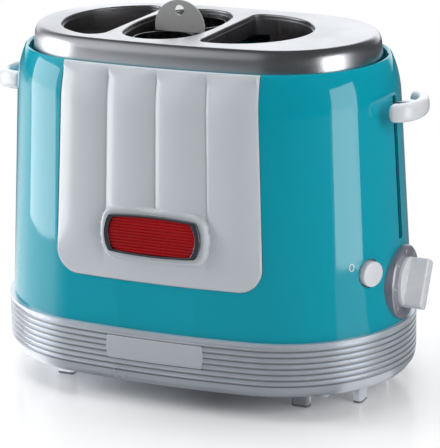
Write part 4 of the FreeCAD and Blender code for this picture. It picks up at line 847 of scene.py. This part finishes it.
class TOASTER_OT_wells(bpy.types.Operator):
    """Well liners and collars, deck plate, heater boards with their ribbons, and bun guards"""

    bl_idname = "toaster.wells"
    bl_label = "Wells"

    def execute(self, context):
        tints, sizes = settings(context)
        liner = sheet_metal("liner steel", tints.liner, 0.36, stretch=(4.0, 4.0, 0.3), depth=0.003)
        for node in (
                "bun_liner_left", "bun_liner_right", "basket_liner", "deck_plate",
                "bun_collar_left", "bun_collar_right", "basket_collar"):
            dress(node, liner, sizes.sheet_round)
        mica = mica_sheet("mica")
        ribbon = sheet_metal("resistance ribbon", (0.30, 0.26, 0.23), 0.4, wear=0.4)
        wire = sheet_metal("guard wire", (0.6, 0.6, 0.6), 0.25)
        for side in ("left", "right"):
            dress("heater_board_" + side, mica, sizes.sheet_round)
            dress("heater_ribbons_" + side, ribbon)
            dress("bun_guard_" + side, wire, angle=50.0)
        return {"FINISHED"}


def crescent(name, material, start, tip, half_width, height, turned=False):
    """Smooth crescent bar of pill section that runs out from the wall and back to it."""
    bar, tall, power, square, blunt = 8.0 * MM, 12.4 * MM, 2.3, 0.72, 0.015
    tree = Geometry(
        name, Start=start, Reach=tip - start - bar / 2, Width=half_width - bar / 2, Height=height,
        Bar=bar / 2, Tall=tall / 2, Power=2 / power, Facing=-1.0 if turned else 1.0)
    line = tree.add("GeometryNodeCurvePrimitiveLine", End=(1.0, 0.0, 0.0))
    path = tree.add("GeometryNodeResampleCurve", Curve=line, Count=97)
    share = tree.add("GeometryNodeSplineParameter", output="Factor")
    turn = (share - 0.5) * pi
    cosine, sine = turn.math("COSINE"), turn.math("SINE")
    out = cosine.math("ABSOLUTE") ** tree.size("Power")
    along = sine.math("ABSOLUTE") ** tree.size("Power")
    x = (tree.size("Start") + tree.size("Reach") * out) * tree.size("Facing")
    y = sine.math("SIGN") * along * tree.size("Width") * tree.size("Facing")
    bent = tree.add("GeometryNodeSetPosition", Geometry=path, Position=tree.vector(x, y, tree.size("Height")))
    even = tree.add("GeometryNodeResampleCurve", Curve=bent, Count=121)
    upright = tree.add("GeometryNodeSetCurveNormal", {"mode": "Z_UP"}, {"Curve": even})
    length = tree.add("GeometryNodeSplineParameter", output="Length")
    whole = tree.add("GeometryNodeSplineLength", output="Length")
    to_end = length.math("MINIMUM", whole - length)
    near = (to_end / (tree.size("Bar") * 0.85)).math("MINIMUM", 1.0)
    fullness = (1.0 - (1.0 - near) ** 2.0).math("SQRT") * (1 - blunt) + blunt
    shaped = tree.add("GeometryNodeSetCurveRadius", Curve=upright, Radius=fullness)
    ring = tree.add("GeometryNodeCurvePrimitiveCircle", Resolution=48, Radius=1.0)
    place = tree.add("GeometryNodeInputPosition")
    squared = [
        part.math("SIGN") * part.math("ABSOLUTE") ** square for part in (place.part(0), place.part(1))]
    section = tree.add(
        "GeometryNodeSetPosition", Geometry=ring,
        Position=tree.vector(squared[0] * tree.size("Bar"), squared[1] * tree.size("Tall")))
    skin = tree.add(
        "GeometryNodeCurveToMesh", Curve=shaped, Profile_Curve=section, Fill_Caps=True, Scale=fullness)
    return tree.make(skin, material)


def rounded_block(name, low, high, radius, material):
    """Block between two corners with every edge rounded."""
    work = bmesh.new()
    bmesh.ops.create_cube(work, size=1.0)
    for vert in work.verts:
        vert.co = Vector([low[k] + (vert.co[k] + 0.5) * (high[k] - low[k]) for k in range(3)])
    bmesh.ops.bevel(
        work, geom=work.edges, offset=radius, segments=4, profile=0.5, affect="EDGES", clamp_overlap=True)
    return make_piece(name, work, material)


class TOASTER_OT_carriage(bpy.types.Operator):
    """Lever carriage with its handle, lifters, rod and return spring, and the fixed grip"""

    bl_idname = "toaster.carriage"
    bl_label = "Carriage"

    def execute(self, context):
        tints, sizes = settings(context)
        zinc = sheet_metal("zinc plate", (0.55, 0.56, 0.57), 0.32)
        white = gloss("control white", tints.controls, 0.22, shift=0.015, coat=0.3)
        self.lever(white)
        dress("carriage_bush", plain_plastic("bush resin", (0.55, 0.54, 0.50), 0.5), sizes.edge_round)
        for node in (
                "carriage_bracket", "bun_lifter_left", "bun_lifter_right", "basket_rest", "keeper_plate",
                "mechanism_plate", "rod_bracket", "guide_rod", "magnet_yoke"):
            dress(node, zinc, sizes.sheet_round)
        self.spring(zinc, sizes)
        return {"FINISHED"}

    def lever(self, material):
        """Lever handle with the stub that grips the carriage's tongue, and the fixed grip opposite."""
        low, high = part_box("lever_handle")
        tip, half, level = high.x, high.y, (low.z + high.z) / 2
        bar = crescent("lever_bar", material, low.x, tip, half, level)
        start, end, stub_half, stub_rise = low.x + 1.8 * MM, tip - 3 * MM, 3.6 * MM, 4.5 * MM
        stub = rounded_block(
            "lever_stub", (start, -stub_half, level - stub_rise), (end, stub_half, level + stub_rise),
            1.0 * MM, material)
        seat(join_pieces(bar, stub), "lever_handle")
        root = -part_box("side_grip")[1].x
        seat(crescent("grip_bar", material, root, tip, half, level, turned=True), "side_grip")

    def spring(self, material, sizes):
        """Coil spring along the guide rod."""
        low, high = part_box("carriage_spring")
        radius = (high.x - low.x - sizes.coil_wire) / 2
        tree = Geometry(
            "carriage_coil", Radius=radius, Wire=sizes.coil_wire / 2, Turns=float(sizes.coil_turns),
            Height=high.z - low.z - sizes.coil_wire, X=(low.x + high.x) / 2, Y=(low.y + high.y) / 2,
            Foot=low.z + sizes.coil_wire / 2)
        coil = tree.add(
            "GeometryNodeCurveSpiral", Resolution=24, Rotations=tree.size("Turns"),
            Start_Radius=tree.size("Radius"), End_Radius=tree.size("Radius"), Height=tree.size("Height"))
        ring = tree.add("GeometryNodeCurvePrimitiveCircle", Resolution=8, Radius=tree.size("Wire"))
        wire = tree.add("GeometryNodeCurveToMesh", Curve=coil, Profile_Curve=ring, Fill_Caps=True)
        place = tree.vector(tree.size("X"), tree.size("Y"), tree.size("Foot"))
        moved = tree.add("GeometryNodeTransform", Geometry=wire, Translation=place)
        coil = seat(tree.make(moved, material), "carriage_spring")
        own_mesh(coil)


class TOASTER_OT_basket(bpy.types.Operator):
    """Lift-out sausage basket with its tab"""

    bl_idname = "toaster.basket"
    bl_label = "Basket"

    def execute(self, context):
        tints, sizes = settings(context)
        satin = satin_steel("satin steel", tints.basket)
        dark = sheet_metal("basket steel", (0.24, 0.24, 0.25), 0.22, stretch=(1.0, 1.0, 1.0))
        dress("sausage_basket", dark, 0.3 * MM, segments=3)
        dress("basket_handle", satin, sizes.sheet_round)
        return {"FINISHED"}


class TOASTER_OT_controls(bpy.types.Operator):
    """Browning dial with its knob, ring and ticks, and the cancel button"""

    bl_idname = "toaster.controls"
    bl_label = "Controls"

    def execute(self, context):
        tints = context.scene.toaster_colours
        white = gloss("knob white", tints.controls, 0.26, shift=0.015, coat=0.25)
        dress("dial_ring", silver_paint("dial metal", (0.31, 0.31, 0.355)), 0.4 * MM, segments=3)
        self.dial_marks(gloss("dial ink", tints.controls, 0.35))
        self.knob(white)
        self.button(white)
        dress("knob_shaft", sheet_metal("shaft steel", (0.6, 0.6, 0.6), 0.25))
        return {"FINISHED"}

    def turned(self, name, material, profile, steps=96):
        """Turned piece round the X axis from (radius, x) points, first and last on the axis."""
        turns = [2 * pi * step / steps for step in range(steps)]
        points = [(x, radius * cos(turn), radius * sin(turn)) for radius, x in profile for turn in turns]
        return mesh_piece(name, points, quads(0, len(profile), steps), material)

    def rounded_edge(self, radius, face, edge):
        """Rounding from a turned piece's side to its face."""
        side, top = radius - edge, face - edge
        return [(side + edge * cos(turn), top + edge * sin(turn)) for turn in quarter_turn(6)]

    def knob(self, material):
        """Round disc with a tall rounded wing across it."""
        low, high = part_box("browning_knob")
        centre = Vector((0, (low.y + high.y) / 2, (low.z + high.z) / 2))
        radius, back_edge, wing_height, rest_turn = (high.y - low.y) / 2, 0.4 * MM, 12.0 * MM, radians(-28.0)
        face = high.x - wing_height
        profile = [(0.0, low.x), (radius - back_edge, low.x), (radius, low.x + back_edge)]
        profile += self.rounded_edge(radius, face, 0.9 * MM) + [(0.0, face)]
        disc = self.turned("knob_disc", material, profile)
        piece = join_pieces(self.wing(material, radius - 0.05 * MM, face - 1.0 * MM, high.x), disc)
        piece.data.transform(Matrix.Translation(centre) @ Matrix.Rotation(rest_turn, 4, "X"))
        piece.name = "knob_body"
        seat(piece, "browning_knob")

    def wing(self, material, radius, back, tip, half=5.75 * MM, round_edge=3.3 * MM):
        """Wing whose ends follow the disc, rounded along its tip and its upright edges."""
        turn = asin(half / radius)
        arc = [turn * (step / 5 - 1) for step in range(11)]
        outline = [(radius * sin(a), radius * cos(a)) for a in arc]
        outline += [(-y, -z) for y, z in outline]
        work = bmesh.new()
        base = work.faces.new([work.verts.new((back, y, z)) for y, z in outline])
        swept = bmesh.ops.extrude_face_region(work, geom=[base])
        moved = [item for item in swept["geom"] if isinstance(item, bmesh.types.BMVert)]
        bmesh.ops.translate(work, verts=moved, vec=(tip - back, 0, 0))
        bmesh.ops.recalc_face_normals(work, faces=work.faces)
        corners, ends = [], []
        for edge in work.edges:
            first, second = (vert.co for vert in edge.verts)
            if abs(first.x - second.x) > 1 * MM and abs(abs(first.y) - half) < 0.01 * MM:
                corners.append(edge)
            elif min(first.x, second.x) > tip - 0.1 * MM:
                ends.append(edge)
        bmesh.ops.bevel(
            work, geom=corners + ends, offset=round_edge, segments=6, profile=0.5, affect="EDGES",
            clamp_overlap=True)
        return make_piece("knob_wing", work, material, angle=50.0)

    def button(self, material):
        """Cancel button with a gently domed, rounded face, on its flange and stem."""
        low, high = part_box("cancel_button")
        angle, radius, proud = radians(-26.0), 8.7 * MM, 4.0 * MM
        flange_radius, stem_radius = 11.3 * MM, 3.0 * MM
        seat_x, flange, edge, dome, steps = -3.8 * MM, 1.6 * MM, 1.1 * MM, 0.5 * MM, 6
        stem = (high.x - low.x - 7.4 * MM) * -1.0
        profile = [
            (0.0, stem), (stem_radius, stem), (stem_radius, seat_x - flange),
            (flange_radius, seat_x - flange), (flange_radius, seat_x), (radius, seat_x)]
        profile += self.rounded_edge(radius, proud - dome, edge)
        for share in (1 - step / steps for step in range(1, steps + 1)):
            profile.append(((radius - edge) * share, proud - dome * share * share))
        piece = self.turned("button_cap", material, profile, steps=64)
        foot = end_point(angle, (low.z + high.z) / 2)
        piece.data.transform(Matrix.Translation(foot) @ Matrix.Rotation(angle, 4, "Z"))
        seat(piece, "cancel_button")

    def dial_marks(self, material):
        """Short printed ticks round the dial's face."""
        low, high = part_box("dial_ring")
        tree = Geometry(
            "dial_marks", Ticks=7, Radius=21.4 * MM, Length=3.0 * MM, Width=0.7 * MM, Face=high.x + 0.02 * MM,
            Level=(low.z + high.z) / 2, Sweep=4.6)
        row = tree.add("GeometryNodeMeshLine", Count=tree.size("Ticks"), Offset=(0.0, 0.0, 0.0))
        index = tree.add("GeometryNodeInputIndex")
        turn = (index / (tree.size("Ticks") - 1.0) - 0.5) * tree.size("Sweep")
        spot = tree.vector(
            tree.size("Face"), tree.size("Radius") * turn.math("SINE"),
            tree.size("Level") + tree.size("Radius") * turn.math("COSINE"))
        placed = tree.add("GeometryNodeSetPosition", Geometry=row, Position=spot)
        tick = tree.add(
            "GeometryNodeMeshCube", Size=tree.vector(0.12 * MM, tree.size("Width"), tree.size("Length")))
        facing = tree.add("FunctionNodeAxisAngleToRotation", Axis=(1.0, 0.0, 0.0), Angle=turn * -1.0)
        ticks = tree.add("GeometryNodeInstanceOnPoints", Points=placed, Instance=tick, Rotation=facing)
        piece = tree.make(ticks, material, smooth=False)
        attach(piece, BODIES["dial_ring"])


class TOASTER_OT_electrics(bpy.types.Operator):
    """Control board, timer, cancel switch, magnet coil and terminal block"""

    bl_idname = "toaster.electrics"
    bl_label = "Electrics"

    def execute(self, context):
        sizes = context.scene.toaster_sizes
        black = plain_plastic("black resin", (0.02, 0.02, 0.022), 0.45)
        dress("control_board", circuit_board("circuit board"))
        dress("magnet_coil", copper_winding("copper winding"), angle=50.0)
        for node in ("timer_pot", "cancel_switch", "terminal_block"):
            dress(node, black, sizes.edge_round)
        return {"FINISHED"}


class TOASTER_OT_tray(bpy.types.Operator):
    """Silver crumb tray in the back of the base"""

    bl_idname = "toaster.tray"
    bl_label = "Tray"

    def execute(self, context):
        tints, sizes = settings(context)
        silver = silver_paint("tray silver", tints.base)
        dress("crumb_tray", silver, sizes.sheet_round, angle=34.0, outline=True)
        return {"FINISHED"}


# ---- stage

def pale_surface(name, tint, fade):
    """White floor that keeps the shadow near the toaster and turns plain white further off."""
    finish = Finish(name)
    reach = finish.add("ShaderNodeVectorMath", {"operation": "LENGTH"}, {0: finish.place}, output=1)
    far = finish.rescale(reach, 0.0, 1.0, fade * 0.25, fade, "SMOOTHSTEP")
    camera, mirrored = finish.rays()
    bearing = finish.add("ShaderNodeVectorMath", {"operation": "NORMALIZE"}, {0: finish.place})
    behind = finish.lobe(bearing, (-0.985, -0.1, 0.0), 0.70, 0.95)
    pale = finish.mix(finish.noise(6.0, 2.0), tint, toned(tint, 0.985))
    shade = finish.mix(mirrored * (1.0 - behind), pale, (0.12, 0.127, 0.135))
    gleaming, matt = (
        finish.add("ShaderNodeBsdfPrincipled", Base_Color=shade, Roughness=0.16, Specular_IOR_Level=level)
        for level in (0.5, 0.0))
    near = finish.add("ShaderNodeMixShader", inputs={0: mirrored, 1: gleaming, 2: matt})
    glow = finish.add("ShaderNodeEmission", Color=finish.mix(mirrored, (1.0, 1.0, 1.0), (1.35, 1.35, 1.35)))
    pool = finish.lobe(bearing, (-0.965, -0.26, 0.0), 0.90, 0.96)
    streak = finish.lobe(bearing, (0.982, -0.19, 0.0), 0.972, 0.982) * 0.42
    share = (far * camera + mirrored * (pool + streak)).math("MINIMUM", 1.0)
    surface = finish.add("ShaderNodeMixShader", inputs={0: share, 1: near, 2: glow})
    finish.add("ShaderNodeOutputMaterial", Surface=surface)
    return finish.material


class TOASTER_OT_stage(bpy.types.Operator):
    """Pale floor, soft lamps and camera"""

    bl_idname = "toaster.stage"
    bl_label = "Stage"

    def execute(self, context):
        sizes = context.scene.toaster_stage
        self.floor(context.scene.toaster_colours, sizes)
        self.world()
        self.lamps()
        self.camera(sizes)
        context.scene.view_settings.view_transform = "Standard"
        return {"FINISHED"}

    def floor(self, tints, sizes):
        work = bmesh.new()
        bmesh.ops.create_grid(work, x_segments=8, y_segments=8, size=6.0)
        white = pale_surface("floor white", tints.backdrop, sizes.floor_fade)
        floor = make_piece("floor", work, white)

    def world(self):
        """Dim all round for plain light, and a white backdrop behind for the camera and for metal."""
        world = bpy.data.worlds.new("studio")
        bpy.context.scene.world = world
        world.use_nodes = True
        nodes = Nodes(world.node_tree)
        camera, mirrored = nodes.rays()
        direction = nodes.add("ShaderNodeTexCoord", output="Generated")
        backdrop = nodes.lobe(direction, (-0.411, 0.911, 0.0), 0.72, 0.90)
        card = nodes.lobe(direction, (-0.78, -0.55, 0.30), 0.60, 0.99)
        studio = backdrop * 1.25 + card * 0.6 + 0.07
        level = mirrored * studio + (1.0 - mirrored) * 0.32
        strength = camera + (1.0 - camera) * level
        sky = nodes.add("ShaderNodeBackground", Color=(0.97, 0.985, 1.0, 1.0), Strength=strength)
        nodes.add("ShaderNodeOutputWorld", Surface=sky)

    def lamps(self):
        """Each lamp's name, place, target, width and height in metres, and watts."""
        middle = (0.0, 0.0, 0.12)
        self.lamp("top softbox", (-0.3, 0.3, 1.7), middle, 1.4, 1.2, 24.0)
        self.lamp("key softbox", (-1.8, -0.5, 0.8), middle, 0.7, 0.7, 27.0)
        self.lamp("fill softbox", (1.9, -0.5, 0.9), middle, 1.2, 1.2, 21.0)
        self.lamp("left strip", (-0.54, -0.20, 0.19), (-0.12, -0.05, 0.19), 0.34, 0.37, 1.1, glossy=True)
        self.lamp("right strip", (0.572, -0.10, 0.185), (0.125, -0.05, 0.185), 0.25, 0.36, 0.75, glossy=True)

    def lamp(self, name, place, target, width, height, watts, glossy=False):
        """Soft lamp that is seen only in gloss, or that only lights."""
        light = bpy.data.lights.new(name, "AREA")
        light.shape = "RECTANGLE"
        light.size, light.size_y = width, height
        light.energy = watts
        lamp = put(name, light)
        lamp.location = place
        lamp.rotation_mode = "QUATERNION"
        lamp.rotation_quaternion = (Vector(target) - Vector(place)).to_track_quat("-Z", "Y")
        lamp.visible_camera = False
        lamp.visible_glossy = glossy
        lamp.visible_diffuse = not glossy

    def camera(self, sizes):
        a, e, roll = sizes.azimuth, sizes.elevation, sizes.roll
        back = Vector((sin(a) * cos(e), -cos(a) * cos(e), sin(e)))
        level = Vector((cos(a), sin(a), 0))
        upright = back.cross(level)
        right = level * cos(roll) + upright * sin(roll)
        up = upright * cos(roll) - level * sin(roll)
        data = bpy.data.cameras.new("camera")
        data.lens = sizes.lens
        data.shift_x, data.shift_y = sizes.shift_x, sizes.shift_y
        data.clip_start, data.clip_end = 0.05, 50.0
        camera = put("camera", data)
        turn = Matrix((right, up, back)).transposed()
        camera.matrix_world = Matrix.Translation(Vector(sizes.target) + back * sizes.distance) @ turn.to_4x4()
        bpy.context.scene.camera = camera


class TOASTER_PT_panel(bpy.types.Panel):
    """Lists the toaster's operators and settings"""

    bl_idname = "TOASTER_PT_panel"
    bl_label = "Toaster"
    bl_space_type = "VIEW_3D"
    bl_region_type = "UI"
    bl_category = "Toaster"

    def draw(self, context):
        for operator in OPERATORS:
            self.layout.operator(operator.bl_idname)
        for group in (*settings(context), context.scene.toaster_stage):
            for key in group.bl_rna.properties.keys():
                if key not in ("rna_type", "name"):
                    self.layout.prop(group, key)


OPERATORS = (
    TOASTER_OT_body, TOASTER_OT_panel, TOASTER_OT_base, TOASTER_OT_cover, TOASTER_OT_wells,
    TOASTER_OT_carriage, TOASTER_OT_basket, TOASTER_OT_controls, TOASTER_OT_electrics, TOASTER_OT_tray,
    TOASTER_OT_stage,
)
CLASSES = (ToasterColours, ToasterSizes, StageSizes, *OPERATORS, TOASTER_PT_panel)


def register():
    for cls in CLASSES:
        bpy.utils.register_class(cls)
    bpy.types.Scene.toaster_colours = PointerProperty(type=ToasterColours)
    bpy.types.Scene.toaster_sizes = PointerProperty(type=ToasterSizes)
    bpy.types.Scene.toaster_stage = PointerProperty(type=StageSizes)


def unregister():
    del bpy.types.Scene.toaster_stage
    del bpy.types.Scene.toaster_sizes
    del bpy.types.Scene.toaster_colours
    for cls in reversed(CLASSES):
        bpy.utils.unregister_class(cls)


def main():
    register()
    for operator in OPERATORS:
        group, name = operator.bl_idname.split(".")
        getattr(getattr(bpy.ops, group), name)()


if __name__ == "__main__":
    main()
